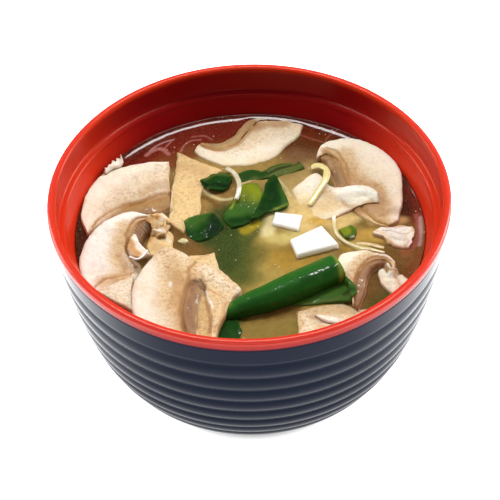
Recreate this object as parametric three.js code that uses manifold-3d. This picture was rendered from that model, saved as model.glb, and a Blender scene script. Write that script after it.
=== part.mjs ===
// A bowl of miso soup with sliced mushrooms, tofu, green onion and leaf greens.
// Millimetres, +Z up. The bowl's axis is the Z axis and it stands on the plane z = 0.
// Seen from the front, -Y is towards the viewer and +X is to the right.
import * as THREE from "three";
import { mergeVertices } from "three/addons/utils/BufferGeometryUtils.js";
import Module from "manifold-3d";

const wasm = await Module();
wasm.setup();

// ---- Driving dimensions -------------------------------------------------------------------

const BOWL_HEIGHT = 70;
const RIM_RADIUS = 60;
const LIP_RADIUS = 0.8; // rounding of the rim's top edge
const LIP_DROP = 3; // depth of the rim band on the outside
const LEDGE_DEPTH = 8.5; // from the rim down to the step inside
const FOOT_RADIUS = 31;
const FOOT_WIDTH = 4;
const FOOT_HEIGHT = 2.5;
const BOWL_SIDES = 48;

// The ribs outside: the first groove's depth below the rim, the first rib's height, and how
// much lower each following rib is.
const FIRST_GROOVE = 11.3;
const FIRST_RIB = 6.7;
const RIB_SHRINK = 0.22;
const RIB_COUNT = 8;
const RIB_RELIEF = 0.55;

const SOUP_LEVEL = 54;
const MENISCUS = 0.7; // how far the soup climbs the wall
const GAP = 0.3; // clearance between neighbouring pieces
const POCKET_TOP = 80; // pockets for the pieces are open upwards past every piece

const SLICE_STEPS = 8; // rows along a slice
const STRAND_SIDES = 6;
const TUBE_SIDES = 12;

// Outline of the outer wall and of the cavity, as radius and height.
const WALL = [[59.7, 67], [58.8, 60.3], [57.2, 50.6], [55.3, 40.9], [52.7, 31.1], [49.2, 21.4],
  [43.4, 11.7], [34.5, 3.6]];
const CAVITY = [[54.9, 60], [52.6, 54.5], [51.3, 46], [49.4, 37], [46, 28], [40, 18.5], [31, 11.5],
  [20, 9], [0, 8.5]];

// ---- Small helpers --------------------------------------------------------------------------

const vector2 = ([x, y]) => new THREE.Vector2(x, y);
const mix = (a, b, t) => a + (b - a) * t;
const spline = (points) => new THREE.SplineCurve(points.map(vector2));

// A closed solid from vertex positions and triangles, turned so that its faces point out.
function solidFrom(positions, triangles) {
  const geometry = new THREE.BufferGeometry();
  geometry.setAttribute("position", new THREE.Float32BufferAttribute(positions, 3));
  geometry.setIndex(triangles);
  return solidOf(geometry);
}

function solidOf(source) {
  const geometry = source.clone();
  geometry.deleteAttribute("normal");
  geometry.deleteAttribute("uv");
  const merged = mergeVertices(geometry, 1e-3);
  const index = merged.index.array;
  const corners = [];
  for (let i = 0; i < index.length; i += 3) {
    const [a, b, c] = [index[i], index[i + 1], index[i + 2]];
    if (a !== b && b !== c && c !== a) corners.push(a, b, c);
  }
  const make = (order) => new wasm.Manifold(new wasm.Mesh({
    numProp: 3,
    vertProperties: new Float32Array(merged.attributes.position.array),
    triVerts: new Uint32Array(order),
  }));
  const solid = make(corners);
  return solid.volume() > 0 ? solid : make(corners.reverse());
}

function geometryOf(solid) {
  const mesh = solid.getMesh();
  const geometry = new THREE.BufferGeometry();
  geometry.setAttribute("position", new THREE.BufferAttribute(mesh.vertProperties, 3));
  geometry.setIndex(new THREE.BufferAttribute(mesh.triVerts, 1));
  geometry.computeVertexNormals();
  return geometry;
}

// The largest body of a solid that a cut may have split.
function mainBody(solid) {
  return solid.decompose().reduce((best, body) => (body.volume() > best.volume() ? body : best));
}

// Joins rings of equal length, each an array of [x, y, z], and closes both ends. An end is
// closed by pairing its points across, so a ring runs along the top and back along the bottom.
function ringsToSolid(rings) {
  const count = rings[0].length;
  const triangles = [];
  const quad = (a, b, c, d) => triangles.push(a, b, c, a, c, d);
  for (let row = 0; row + 1 < rings.length; row += 1) {
    for (let i = 0; i < count; i += 1) {
      const next = (i + 1) % count;
      const here = row * count;
      const there = here + count;
      quad(here + i, here + next, there + next, there + i);
    }
  }
  const last = (rings.length - 1) * count;
  for (let i = 0; i + 1 < count / 2; i += 1) {
    quad(i, count - 1 - i, count - 2 - i, i + 1);
    quad(last + i, last + i + 1, last + count - 2 - i, last + count - 1 - i);
  }
  return solidFrom(rings.flat(2), triangles);
}

// ---- Flat pieces between rails ----------------------------------------------------------------

// A slice lies between curved rails that run along it. `across` lists the points of its cross
// section: how far across the rails (0 is the first rail, 1 the second, ...) and how high above
// the slice's plane. The plane passes through `top` on the axis and rises by `slope` along X, Y.
// The relief between the edges grows from nothing over the share `fade` of the length.
const planeHeight = ({ top, slope = [0, 0] }, x, y) => top + slope[0] * x + slope[1] * y;

function railPoint(rails, position, along) {
  const first = Math.min(Math.floor(position), rails.length - 2);
  const a = rails[first].getPoint(along);
  const b = rails[first + 1].getPoint(along);
  return a.lerp(b, position - first);
}

function sliceSolid(piece) {
  const { thick, across, wave = 0, ripples = 2, steps = SLICE_STEPS, fade = 0 } = piece;
  const rails = piece.rails.map(spline);
  const rings = [];
  for (let row = 0; row <= steps; row += 1) {
    const along = row / steps;
    const relief = fade > 0 ? Math.min(along / fade, 1) : 1;
    const top = [];
    const bottom = [];
    for (const [position, rise] of across) {
      const { x, y } = railPoint(rails, position, along);
      const lift = wave * Math.sin(2 * Math.PI * (ripples * along + 0.35 * position));
      const height = planeHeight(piece, x, y) + lift;
      top.push([x, y, height + rise * relief]);
      bottom.unshift([x, y, height - thick]);
    }
    rings.push([...top, ...bottom]);
  }
  return ringsToSolid(rings);
}

// The room a slice needs in what lies under it: its outline grown by the gap, from just below
// its underside straight up.
function slicePocket(piece) {
  const { thick, wave = 0, steps = SLICE_STEPS } = piece;
  const rails = piece.rails.map(spline);
  const rows = [];
  for (let row = 0; row <= steps; row += 1) rows.push(rails.map((rail) => rail.getPoint(row / steps)));
  const floor = ({ x, y }) => planeHeight(piece, x, y) - thick - Math.abs(wave) - GAP;
  return pocketSolid(rows, floor);
}

// A vertical-sided pocket over a grid of points in plan, grown outwards by the gap.
function pocketSolid(rows, floor) {
  const last = rows.length - 1;
  const right = rows[0].length - 1;
  const outline = [
    ...rows[0],
    ...rows.slice(1, last).map((row) => row[right]),
    ...[...rows[last]].reverse(),
    ...rows.slice(1, last).map((row) => row[0]).reverse(),
  ];
  const turn = Math.sign(THREE.ShapeUtils.area(outline));
  const grown = new Map(outline.map((point, i) => {
    const before = outline[(i + outline.length - 1) % outline.length];
    const after = outline[(i + 1) % outline.length];
    const normals = [point.clone().sub(before), after.clone().sub(point)]
      .map((run) => new THREE.Vector2(run.y, -run.x).normalize().multiplyScalar(turn));
    const bisector = normals[0].clone().add(normals[1]).normalize();
    const spread = Math.max(bisector.dot(normals[0]), 0.5);
    return [point, point.clone().add(bisector.multiplyScalar((1.1 * GAP) / spread))];
  }));
  const rings = rows.map((row) => {
    const points = row.map((point) => grown.get(point) ?? point);
    const top = points.map(({ x, y }) => [x, y, POCKET_TOP]);
    const bottom = points.map((point) => [point.x, point.y, floor(point)]).reverse();
    return [...top, ...bottom];
  });
  return ringsToSolid(rings);
}

// ---- Round pieces along a path ------------------------------------------------------------------

const pathOf = (piece) => new THREE.CatmullRomCurve3(
  piece.path.map(([x, y, z]) => new THREE.Vector3(x, y, z)),
);

// A thin strand of even thickness.
function strandSolid(piece) {
  const circle = new THREE.Shape().absarc(0, 0, piece.radius, 0, 2 * Math.PI);
  const geometry = new THREE.ExtrudeGeometry(circle, {
    curveSegments: STRAND_SIDES / 2,
    steps: piece.steps,
    extrudePath: pathOf(piece),
  });
  return solidOf(geometry);
}

// A flattened tube with tapered, slightly dished ends. `widths` and `heights` are the half
// axes of its oval at even steps along the path.
function ovalSolid(piece) {
  const path = pathOf(piece);
  const rings = [];
  for (let row = 0; row <= piece.steps; row += 1) {
    const along = row / piece.steps;
    const centre = path.getPoint(along);
    const ahead = path.getTangent(along);
    const side = new THREE.Vector3(-ahead.y, ahead.x, 0).normalize();
    const width = sampled(piece.widths, along);
    const height = sampled(piece.heights, along);
    const ring = [];
    for (let i = 0; i < TUBE_SIDES; i += 1) {
      const turn = (2 * Math.PI * (i + 0.5)) / TUBE_SIDES;
      ring.push([
        centre.x + side.x * width * Math.cos(turn),
        centre.y + side.y * width * Math.cos(turn),
        centre.z + height * Math.sin(turn),
      ]);
    }
    rings.push(ring);
  }
  return ringsToSolid(rings);
}

function sampled(values, along) {
  const place = along * (values.length - 1);
  const first = Math.min(Math.floor(place), values.length - 2);
  return mix(values[first], values[first + 1], place - first);
}

function pathPocket(piece, halfWidth, depth) {
  const path = pathOf(piece);
  const rows = [];
  let lowest = Infinity;
  for (let row = 0; row <= piece.steps; row += 1) {
    const along = row / piece.steps;
    const centre = path.getPoint(along);
    const ahead = path.getTangent(along);
    const side = new THREE.Vector2(-ahead.y, ahead.x).normalize();
    const reach = halfWidth(along);
    const point = (sign) => new THREE.Vector2(
      centre.x + sign * side.x * reach,
      centre.y + sign * side.y * reach,
    );
    rows.push([point(1), point(-1)]);
    lowest = Math.min(lowest, centre.z - depth);
  }
  return pocketSolid(rows, () => lowest - GAP);
}

// ---- The bowl and its contents' room -------------------------------------------------------------

// Heights of the grooves between the ribs, from the rim down.
function grooveHeights() {
  const heights = [];
  let height = BOWL_HEIGHT - FIRST_GROOVE;
  for (let i = 0; i <= RIB_COUNT; i += 1) {
    heights.push(height);
    height -= FIRST_RIB - RIB_SHRINK * i;
  }
  return heights;
}

// The radius of a spline outline at a height, found by halving.
function radiusAt(outline, height) {
  const curve = spline(outline);
  let [low, high] = [0, 1];
  for (let i = 0; i < 30; i += 1) {
    const middle = (low + high) / 2;
    if (curve.getPoint(middle).y > height) low = middle;
    else high = middle;
  }
  return curve.getPoint(low).x;
}

function outerWall() {
  const points = [];
  const grooves = grooveHeights();
  grooves.forEach((groove, i) => {
    points.push([radiusAt(WALL, groove) - RIB_RELIEF, groove]);
    const below = grooves[i + 1];
    if (below === undefined) return;
    for (const part of [0.2, 0.5, 0.8]) {
      const height = mix(groove, below, part);
      const swell = RIB_RELIEF * (Math.sin(Math.PI * part) - 0.65);
      points.push([radiusAt(WALL, height) + swell, height]);
    }
  });
  return points;
}

function bowlProfile() {
  const lipCentre = [RIM_RADIUS - LIP_RADIUS, BOWL_HEIGHT - LIP_RADIUS];
  const lip = [0, 30, 60, 90, 130, 170].map((degrees) => {
    const turn = THREE.MathUtils.degToRad(degrees);
    return [lipCentre[0] + LIP_RADIUS * Math.cos(turn), lipCentre[1] + LIP_RADIUS * Math.sin(turn)];
  });
  const ledge = BOWL_HEIGHT - LEDGE_DEPTH;
  const ledgeWall = [[57.5, ledge + 3], [57, ledge + 0.6], [56.4, ledge]];
  const footOut = FOOT_RADIUS;
  const footIn = FOOT_RADIUS - FOOT_WIDTH;
  const foot = [[footOut + 1.2, FOOT_HEIGHT], [footOut, 0.6], [footOut - 0.5, 0], [footIn + 0.5, 0],
    [footIn, 0.6], [footIn - 1, FOOT_HEIGHT], [0, FOOT_HEIGHT]];
  const below = BOWL_HEIGHT - LIP_DROP;
  const band = [[RIM_RADIUS, below], [RIM_RADIUS - 0.5, below - 0.3]];
  const outside = [...band, ...outerWall(), ...foot];
  return [...CAVITY.slice().reverse(), ...ledgeWall.reverse(), ...lip.reverse(), ...outside];
}

function turned(profile) {
  return solidOf(new THREE.LatheGeometry(profile.map(vector2), BOWL_SIDES).rotateX(Math.PI / 2));
}

// Everything inside the bowl, clear of its wall by the gap.
function cavityRoom() {
  const inner = CAVITY.map(([radius, height]) => [Math.max(radius - GAP - 0.15, 0), height + GAP]);
  const top = [[0, POCKET_TOP], [54.4, POCKET_TOP]];
  return turned([...top, ...inner]);
}

// The soup's body before the pieces are cut from it.
function soupBody() {
  const inside = CAVITY.filter(([, height]) => height < SOUP_LEVEL);
  const shrunk = inside.map(([radius, height]) => [Math.max(radius - GAP - 0.1, 0), height + GAP]);
  const edge = radiusAt(CAVITY, SOUP_LEVEL + MENISCUS) - GAP - 0.1;
  const surface = [[0, SOUP_LEVEL], [edge - 2.5, SOUP_LEVEL], [edge - 0.9, SOUP_LEVEL + 0.2],
    [edge, SOUP_LEVEL + MENISCUS]];
  return turned([...surface, ...shrunk]);
}

// ---- Cross sections ----------------------------------------------------------------------------

// A mushroom slice: firm white flesh between the first two rails, gills between the next two.
const CAP_SECTION = [[0, -0.7], [0.1, 0], [0.55, 0.3], [0.93, 0.1], [1.02, -0.6], [1.5, -0.2],
  [2, -1.2]];
// A slice through cap, gills, the hollow beside the stem, and the stem.
const WHOLE_SECTION = [[0, -0.7], [0.1, 0], [0.55, 0.3], [0.93, 0], [1.02, -0.5], [1.5, 0.4],
  [2, -1], [2.95, -1], [3.1, 0], [3.85, 0], [4, -0.7]];
const SLAB_SECTION = [[0, -0.5], [0.1, 0], [0.9, 0], [1, -0.5]];
const LEAF_SECTION = [[0, -0.2], [0.3, 0.1], [0.7, 0.1], [1, -0.2]];
const BLOCK_SECTION = [[0, -0.3], [0.05, 0], [0.95, 0], [1, -0.3]];
const LUMP_SECTION = [[0, -1], [0.25, 0.2], [0.5, -0.4], [0.75, 0.3], [1, -1]];

// ---- Colours -------------------------------------------------------------------------------------

const FLESH = { color: 0xf1e0c8, roughness: 0.6 };
const TAN = { color: 0xd9bb8c, roughness: 0.6 };
const TOFU = { color: 0xf8f5ee, roughness: 0.5 };
const GREEN = { color: 0x1f5a2c, roughness: 0.35 };
const LEAF = { color: 0x4c7a2c, roughness: 0.4 };
const ONION = { color: 0xd8d3a8, roughness: 0.3 };
const BROTH = { color: 0x94793c, roughness: 0.15 };
const SHELL = { color: 0x232a38, roughness: 0.35 };

// ---- The pieces, from the uppermost to the lowest ------------------------------------------------

// Each is cut back, with a gap, where a piece further up the list lies on it.
const pieces = [
  { name: "onion_curl", kind: "strand", look: ONION, radius: 0.4, steps: 6,
    path: [[-36, -10.5, 57.2], [-34.5, -12, 57.6], [-33, -11.5, 57.6], [-31.5, -10, 57.2]] },
  { name: "stem_chip", kind: "slice", look: FLESH, top: 57, slope: [0, -0.05], thick: 1.6, steps: 3,
    across: SLAB_SECTION,
    rails: [[[-35, -1.5], [-35, -4], [-34, -7], [-31.5, -10]], [[-34, -1], [-33, -3.5], [-31.5, -6], [-30, -8.5]]] },
  { name: "mushroom_crumple", kind: "slice", look: FLESH, top: 57.6, thick: 2.2, wave: 0.5, steps: 6,
    across: LUMP_SECTION,
    rails: [[[-30, 5], [-27.5, 7], [-25.5, 6.5], [-24, 3.5], [-24.5, 0], [-25.5, -1.5]],
      [[-30.5, 3.5], [-29.5, 1.5], [-28.5, 0], [-29.5, -1.5], [-28.5, -2.5], [-27, -3.5]]] },
  { name: "mushroom_scrap", kind: "slice", look: FLESH, top: 57.8, thick: 1.6, wave: 0.3, steps: 5,
    across: SLAB_SECTION,
    rails: [[[-44.5, 25.5], [-44, 27.5], [-42.5, 30], [-41, 31.5], [-39.5, 33.5]],
      [[-43.5, 25], [-42.5, 26], [-41.5, 27], [-39.5, 28], [-38.5, 30]]] },
  { name: "onion_strand_back", kind: "strand", look: ONION, radius: 0.7, steps: 10,
    path: [[-7.5, 27, 55.8], [-5.5, 25, 56.5], [-3.5, 22.5, 56.9], [-3, 19, 56.9], [-3.5, 16.5, 56.6],
      [-4, 14, 56.2]] },
  { name: "onion_strand_right", kind: "strand", look: ONION, radius: 0.7, steps: 12,
    path: [[17, 25.5, 56], [19.5, 26.5, 56.4], [22, 26.5, 57.2], [23.5, 25, 57.6], [23.5, 21.5, 58],
      [22.5, 17.5, 58], [20.5, 13.5, 57.6], [18.5, 9.5, 57]] },
  { name: "green_onion_tube", kind: "oval", look: GREEN, steps: 10,
    widths: [2.2, 3.2, 3.9, 4.3, 4.6, 4.7, 4.6], heights: [1.8, 2.6, 3.1, 3.4, 3.6, 3.5, 3.2],
    path: [[-8, -33.8, 55.2], [-4, -32.6, 55.9], [0, -31.2, 56.4], [4.5, -29.7, 56.8],
      [8.5, -27.8, 57], [13, -25.5, 57.2], [17.5, -23.2, 57.4], [25.5, -19, 57.6]] },
  { name: "mushroom_curl", kind: "slice", look: FLESH, top: 55.6, slope: [0.02, 0], thick: 2.6,
    wave: 0.5, ripples: 1.3, steps: 6, across: SLAB_SECTION,
    rails: [[[40, -18], [38, -19], [37.5, -22], [39, -25.5], [41, -28.5], [43.5, -29.5]],
      [[41, -19], [40, -20.5], [41.5, -22], [43.5, -22], [45.5, -24], [46, -26]]] },
  { name: "leaf_dark", kind: "slice", look: GREEN, top: 56.4, thick: 0.8, wave: 0.35, ripples: 1.2,
    steps: 7, across: LEAF_SECTION,
    rails: [[[0, 3.5], [2.5, 9], [4, 14], [5, 19.5], [6.5, 22], [7.5, 23]],
      [[2, 4], [6, 7], [10, 8], [12, 10], [10.5, 16], [9, 21.5]]] },
  { name: "tofu_front", kind: "slice", look: TOFU, top: 57.3, thick: 8, steps: 2, across: BLOCK_SECTION,
    rails: [[[12, -6.5], [21.5, -0.5]], [[13.5, -14], [26.5, -9.5]]] },
  { name: "mushroom_sliver", kind: "slice", look: FLESH, top: 55.6, thick: 1, steps: 3,
    across: SLAB_SECTION,
    rails: [[[18, -35.5], [21, -36], [24, -37], [27.5, -38.5]],
      [[19, -37], [21, -38.5], [23.5, -39.5], [26.5, -40]]] },
  { name: "onion_arc", kind: "strand", look: ONION, radius: 0.6, steps: 12,
    path: [[25.5, 7, 54.4], [25, 3, 54.7], [25.5, -1.5, 54.9], [27.5, -5, 55.1], [30.5, -7.5, 55.5],
      [35, -9.5, 56.8], [40, -11, 57]] },
  { name: "leaf_small", kind: "slice", look: LEAF, top: 55.4, thick: 0.8, wave: 0.2, steps: 4,
    across: LEAF_SECTION,
    rails: [[[26.5, -1], [28.5, 0.5], [30.5, 1], [32, 0.5]], [[28, -3], [29, -4.5], [31, -4], [32, -2]]] },
  { name: "leaf_back", kind: "slice", look: GREEN, top: 55.9, thick: 0.8, wave: 0.35, steps: 6,
    across: LEAF_SECTION,
    rails: [[[-15, 22], [-13, 23], [-11, 25], [-8.5, 25], [-6, 25.5], [-5, 23.5]],
      [[-14.5, 20.5], [-13.5, 19.5], [-12, 18], [-9, 17.5], [-6.5, 18.5], [-5, 21]]] },
  { name: "leaf_left", kind: "slice", look: LEAF, top: 55.6, slope: [0, 0.02], thick: 0.8, wave: 0.35,
    steps: 6, across: LEAF_SECTION,
    rails: [[[-20, 4.5], [-17.5, 6.5], [-14.5, 8], [-11.5, 7.5], [-9.5, 6], [-8, 3]],
      [[-19.5, 1], [-18.5, -2.5], [-15, -4], [-11.5, -2.5], [-9.5, -0.5], [-8, 1.5]]] },
  { name: "leaf_bright", kind: "slice", look: LEAF, top: 55.3, thick: 0.8, wave: 0.35, ripples: 1.5,
    steps: 7, across: LEAF_SECTION,
    rails: [[[-5.5, 1], [-8, 5.5], [-6.5, 10.5], [-5, 14], [-3.5, 18], [-1.5, 20.5]],
      [[-2, 2], [1, 4.5], [4, 7.5], [5, 11.5], [4.5, 16], [3, 21]]] },
  { name: "tofu_back", kind: "slice", look: TOFU, top: 56, thick: 8, steps: 2, across: BLOCK_SECTION,
    rails: [[[8, 7], [16, 5]], [[6.5, 1.5], [14, -2]]] },
  { name: "mushroom_front_left", kind: "slice", look: FLESH, top: 56.6, slope: [0.01, -0.03], thick: 4.2,
    steps: 9, fade: 0.33, across: WHOLE_SECTION,
    rails: [
      [[-19, -11], [-24.5, -7], [-28.5, -9.5], [-32.5, -16], [-35, -23.5], [-35, -31], [-33.5, -38.5],
        [-28.5, -45]],
      [[-17.5, -13], [-18, -17], [-18.5, -22], [-19, -26.5], [-20, -31.5], [-20.5, -36.5], [-20, -41.5],
        [-18.5, -47.5]],
      [[-15.7, -14], [-15.2, -18.5], [-14.7, -23], [-14.7, -27.5], [-15.7, -32.5], [-16.5, -37.5],
        [-16, -42.5], [-15.5, -48]],
      [[-14.9, -14], [-14.4, -18.5], [-13.8, -23.5], [-13.3, -29], [-12.5, -34], [-12, -38.5], [-12, -43],
        [-12, -48]],
      [[-13, -14.5], [-9.5, -17.5], [-6, -21.5], [-3, -26], [-5.5, -30], [-7.5, -35], [-9.5, -40.5],
        [-11.2, -48]]] },
  { name: "mushroom_stem_left", kind: "slice", look: FLESH, top: 56.4, slope: [0.02, 0.02], thick: 3,
    steps: 4, across: SLAB_SECTION,
    rails: [[[-29.5, 0.5], [-30.5, -2.5], [-31, -6], [-30, -10]],
      [[-24.5, 0.5], [-23, -1.5], [-23.5, -4.5], [-23, -8]]] },
  { name: "green_onion_flap", kind: "slice", look: LEAF, top: 55.4, thick: 1, wave: 0.2, ripples: 1,
    steps: 6, across: LEAF_SECTION,
    rails: [[[12, -31.5], [17, -29], [21.5, -26.5], [26, -24], [28.5, -25.5], [30.5, -27]],
      [[12.5, -34], [17, -32.5], [21, -31.5], [25.5, -31], [28.5, -31], [30.5, -29]]] },
  { name: "mushroom_front_right", kind: "slice", look: FLESH, top: 55.6, slope: [0.03, 0], thick: 3.8,
    across: CAP_SECTION,
    rails: [
      [[29, -32.5], [28.7, -26.5], [26, -19], [26.5, -12], [33, -11], [39, -12.5], [42.5, -16.5],
        [42.6, -21]],
      [[29.5, -33], [29.7, -27], [30.5, -22.5], [33, -18], [36.5, -15.5], [40, -16], [41.5, -18.5],
        [41.8, -21.2]],
      [[30.7, -34.5], [33, -28.5], [34, -23.5], [35, -20.5], [37, -18], [39.5, -17.5], [40.7, -19],
        [41, -21.2]]] },
  { name: "mushroom_torn", kind: "slice", look: FLESH, top: 55.2, slope: [0.02, 0], thick: 2.4,
    wave: 0.3, steps: 6, across: SLAB_SECTION,
    rails: [[[36.5, -2.5], [39.5, -2], [42.5, -1.5], [45.5, -1.5], [47.5, -2], [49, -3.5]],
      [[37, -3.4], [39, -5], [41, -8], [43, -10], [46, -11], [48, -8]]] },
  { name: "onion_low", kind: "strand", look: ONION, radius: 0.5, steps: 6,
    path: [[28, -4.5, 53.9], [32, -5.2, 54.2], [36.5, -6.5, 54.3], [40, -8, 54.1]] },
  { name: "mushroom_stem_right", kind: "slice", look: FLESH, top: 55.5, slope: [0.04, 0.035],
    thick: 3.4, across: SLAB_SECTION,
    rails: [[[13, 15.5], [17.5, 20.5], [21.5, 22.5], [24.5, 17.5], [28, 15.5], [32.5, 16], [37, 14.5],
      [39.5, 12]],
    [[14.5, 10], [17.5, 5], [21.5, 2], [25, 2.5], [28.5, 4.5], [32.5, 7], [36, 8], [39.5, 9]]] },
  { name: "mushroom_left", kind: "slice", look: FLESH, top: 56.4, slope: [-0.03, 0], thick: 4.2,
    across: CAP_SECTION,
    rails: [
      [[-29.5, 6], [-35.5, 7.5], [-41.5, 5.5], [-46.5, 0.5], [-50, -7], [-51, -15.5], [-49, -23],
        [-44.5, -28]],
      [[-29.5, 4.5], [-32.5, 3.5], [-35, 0.5], [-36.5, -4], [-37, -8.5], [-36, -15], [-37, -22.5],
        [-43.2, -28.3]],
      [[-28, 3], [-30, 0], [-32, -3], [-33.5, -6.5], [-33.5, -11], [-32.5, -17], [-35.5, -24],
        [-42.3, -29]]] },
  { name: "mushroom_right_back", kind: "slice", look: FLESH, top: 56, slope: [0.03, 0.02], thick: 4.2,
    across: CAP_SECTION,
    rails: [
      [[21, 29], [23, 34.5], [28.5, 37.3], [35.5, 36.6], [42.7, 30.5], [46.8, 21.8], [46.8, 11], [45, 0]],
      [[22.3, 29.5], [25, 30], [28, 27], [29.5, 22.5], [30.5, 17], [33.5, 8.5], [37.5, 1.5], [42, -2]],
      [[22.6, 28], [24, 26.5], [25, 23], [26, 19], [27.5, 13.5], [31, 6], [36, 0.5], [41.5, -2.8]]] },
  { name: "mushroom_back", kind: "slice", look: FLESH, top: 55.4, thick: 3.2, across: CAP_SECTION,
    rails: [
      [[-16.5, 35.5], [-13, 31.5], [-6, 28.5], [2, 29], [9, 32.5], [12.5, 37], [16, 40.5], [18, 46]],
      [[-15, 39], [-12.5, 37], [-8.5, 36], [-3.5, 38.5], [0.5, 44.5], [4, 49], [11, 48.6], [17.5, 46.7]],
      [[-14, 40], [-11.5, 39.5], [-8.5, 40], [-5, 42.5], [-2.5, 46.5], [1, 50], [9.5, 49.8],
        [17.2, 47.4]]] },
  { name: "mushroom_wedge", kind: "slice", look: TAN, top: 54.9, slope: [0, -0.02], thick: 2.6,
    steps: 4, across: SLAB_SECTION,
    rails: [[[-45.5, -23], [-42, -20], [-38.5, -18.5], [-35, -18], [-32.5, -18.5]],
      [[-45, -24.2], [-42, -26], [-39, -28.5], [-35.5, -31], [-32, -33]]] },
  { name: "stem_slab", kind: "slice", look: TAN, top: 54.9, thick: 3, steps: 5, across: SLAB_SECTION,
    rails: [[[-22, 36], [-22.5, 28], [-23.5, 19], [-24, 11], [-24.5, 4.5]],
      [[-7.5, 27], [-12, 23], [-14.5, 16.5], [-15, 9], [-20, 0.5]]] },
  { name: "mushroom_back_left", kind: "slice", look: FLESH, top: 55.2, slope: [-0.02, 0.02], thick: 3.4,
    across: CAP_SECTION,
    rails: [
      [[-24.5, 31], [-32, 30.5], [-38, 29], [-44, 26.5], [-48, 21.5], [-50.5, 14], [-51, 7.5],
        [-49, 0.5]],
      [[-24, 16], [-29, 14.5], [-33.5, 12.5], [-37.5, 10.5], [-41.5, 7], [-44.5, 4], [-47.3, 1.6],
        [-48.6, -0.2]],
      [[-23.5, 9.5], [-29, 8], [-33.5, 7.5], [-37.5, 6], [-41.5, 4], [-44.5, 2], [-47, 0.3],
        [-48.2, -0.8]]] },
  { name: "mushroom_chip", kind: "slice", look: TAN, top: 54.9, slope: [0, 0.03], thick: 2.4, steps: 2,
    across: SLAB_SECTION,
    rails: [[[-18.5, -9], [-14, -9], [-11, -8]], [[-18, -14], [-13, -16], [-9, -17]]] },
  { name: "slice_front_right", kind: "slice", look: TAN, top: 53.9, slope: [0, -0.02], thick: 2.6,
    steps: 6, across: SLAB_SECTION,
    rails: [[[13, -33.5], [18.5, -31.5], [25.5, -30.5], [31, -33], [36.5, -32.5], [42, -29.5]],
      [[13, -45.5], [18.5, -46], [24.5, -43.5], [31, -39.5], [36.5, -35], [41.7, -30.3]]] },
  { name: "leaf_far", kind: "slice", look: GREEN, top: 54.5, thick: 0.8, wave: 0.3, steps: 6,
    across: LEAF_SECTION,
    rails: [[[-3, 26], [0.5, 27.5], [4.5, 27.5], [8.5, 29], [13, 30.5], [16, 31]],
      [[-2.5, 22], [1, 22.5], [5, 23], [9, 24], [13.5, 25.5], [17.5, 27.5]]] },
  { name: "leaf_front", kind: "slice", look: GREEN, top: 54.4, thick: 0.8, wave: 0.3, steps: 5,
    across: LEAF_SECTION,
    rails: [[[-12.5, -42.5], [-10.5, -39], [-8, -36], [-4.5, -35]],
      [[-10.5, -46], [-8, -46], [-5, -45.5], [-3, -40.5]]] },
  { name: "onion_bit", kind: "slice", look: ONION, top: 54.9, thick: 1.2, steps: 2, across: SLAB_SECTION,
    rails: [[[-22, -3], [-20.5, -2], [-19, -2.5]], [[-21.5, -3.6], [-20, -4.5], [-18.5, -3.6]]] },
];

const builders = {
  slice: { solid: sliceSolid, pocket: slicePocket },
  strand: {
    solid: strandSolid,
    pocket: (piece) => pathPocket(piece, () => piece.radius, piece.radius),
  },
  oval: {
    solid: ovalSolid,
    pocket: (piece) => pathPocket(
      piece,
      (along) => sampled(piece.widths, along),
      Math.max(...piece.heights),
    ),
  },
};

// ---- Assembly --------------------------------------------------------------------------------------

function namedMesh(name, solid, look) {
  const mesh = new THREE.Mesh(geometryOf(solid), new THREE.MeshStandardMaterial(look));
  mesh.name = name;
  return mesh;
}

const bowl = new THREE.Group();
bowl.add(namedMesh("bowl", turned(bowlProfile()), SHELL));

const contents = new THREE.Group();
const room = cavityRoom();
const pocketsAbove = [];
let soup = soupBody();
for (const piece of pieces) {
  const { solid, pocket } = builders[piece.kind];
  let body = solid(piece).intersect(room);
  for (const above of pocketsAbove) body = body.subtract(above);
  const space = pocket(piece);
  soup = soup.subtract(space);
  pocketsAbove.push(space);
  contents.add(namedMesh(piece.name, mainBody(body), piece.look));
}
contents.add(namedMesh("soup", mainBody(soup), BROTH));

const part = new THREE.Group();
part.add(bowl, contents);

export default part;
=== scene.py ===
"""A bowl of miso soup with sliced mushrooms, tofu, green onion and leaf greens.

Lengths in this file are millimetres unless a name or a unit says otherwise; mesh_piece turns
them into metres. The bowl's axis is Z and it stands on z = 0; -Y is towards the viewer.
"""

import math
from functools import lru_cache

import bpy
import numpy as np
from bpy.props import FloatProperty, FloatVectorProperty, PointerProperty
from bpy.types import Operator, Panel, PropertyGroup
from mathutils import Matrix, Vector


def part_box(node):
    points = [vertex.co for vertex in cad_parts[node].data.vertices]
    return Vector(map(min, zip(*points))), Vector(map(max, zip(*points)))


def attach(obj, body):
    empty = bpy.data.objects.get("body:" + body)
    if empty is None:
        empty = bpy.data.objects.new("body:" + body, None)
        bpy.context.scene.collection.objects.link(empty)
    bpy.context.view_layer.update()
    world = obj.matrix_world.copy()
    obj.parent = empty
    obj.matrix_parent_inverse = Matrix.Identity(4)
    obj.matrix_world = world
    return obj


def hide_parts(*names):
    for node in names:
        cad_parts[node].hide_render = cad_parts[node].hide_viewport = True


bl_info = {
    "name": "Miso Soup Bowl",
    "version": (1, 0, 0),
    "blender": (4, 5, 0),
    "location": "View3D > Sidebar > Soup Bowl",
    "description": "Builds the looks of a bowl of miso soup around its packed model",
    "category": "Add Mesh",
}

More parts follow.
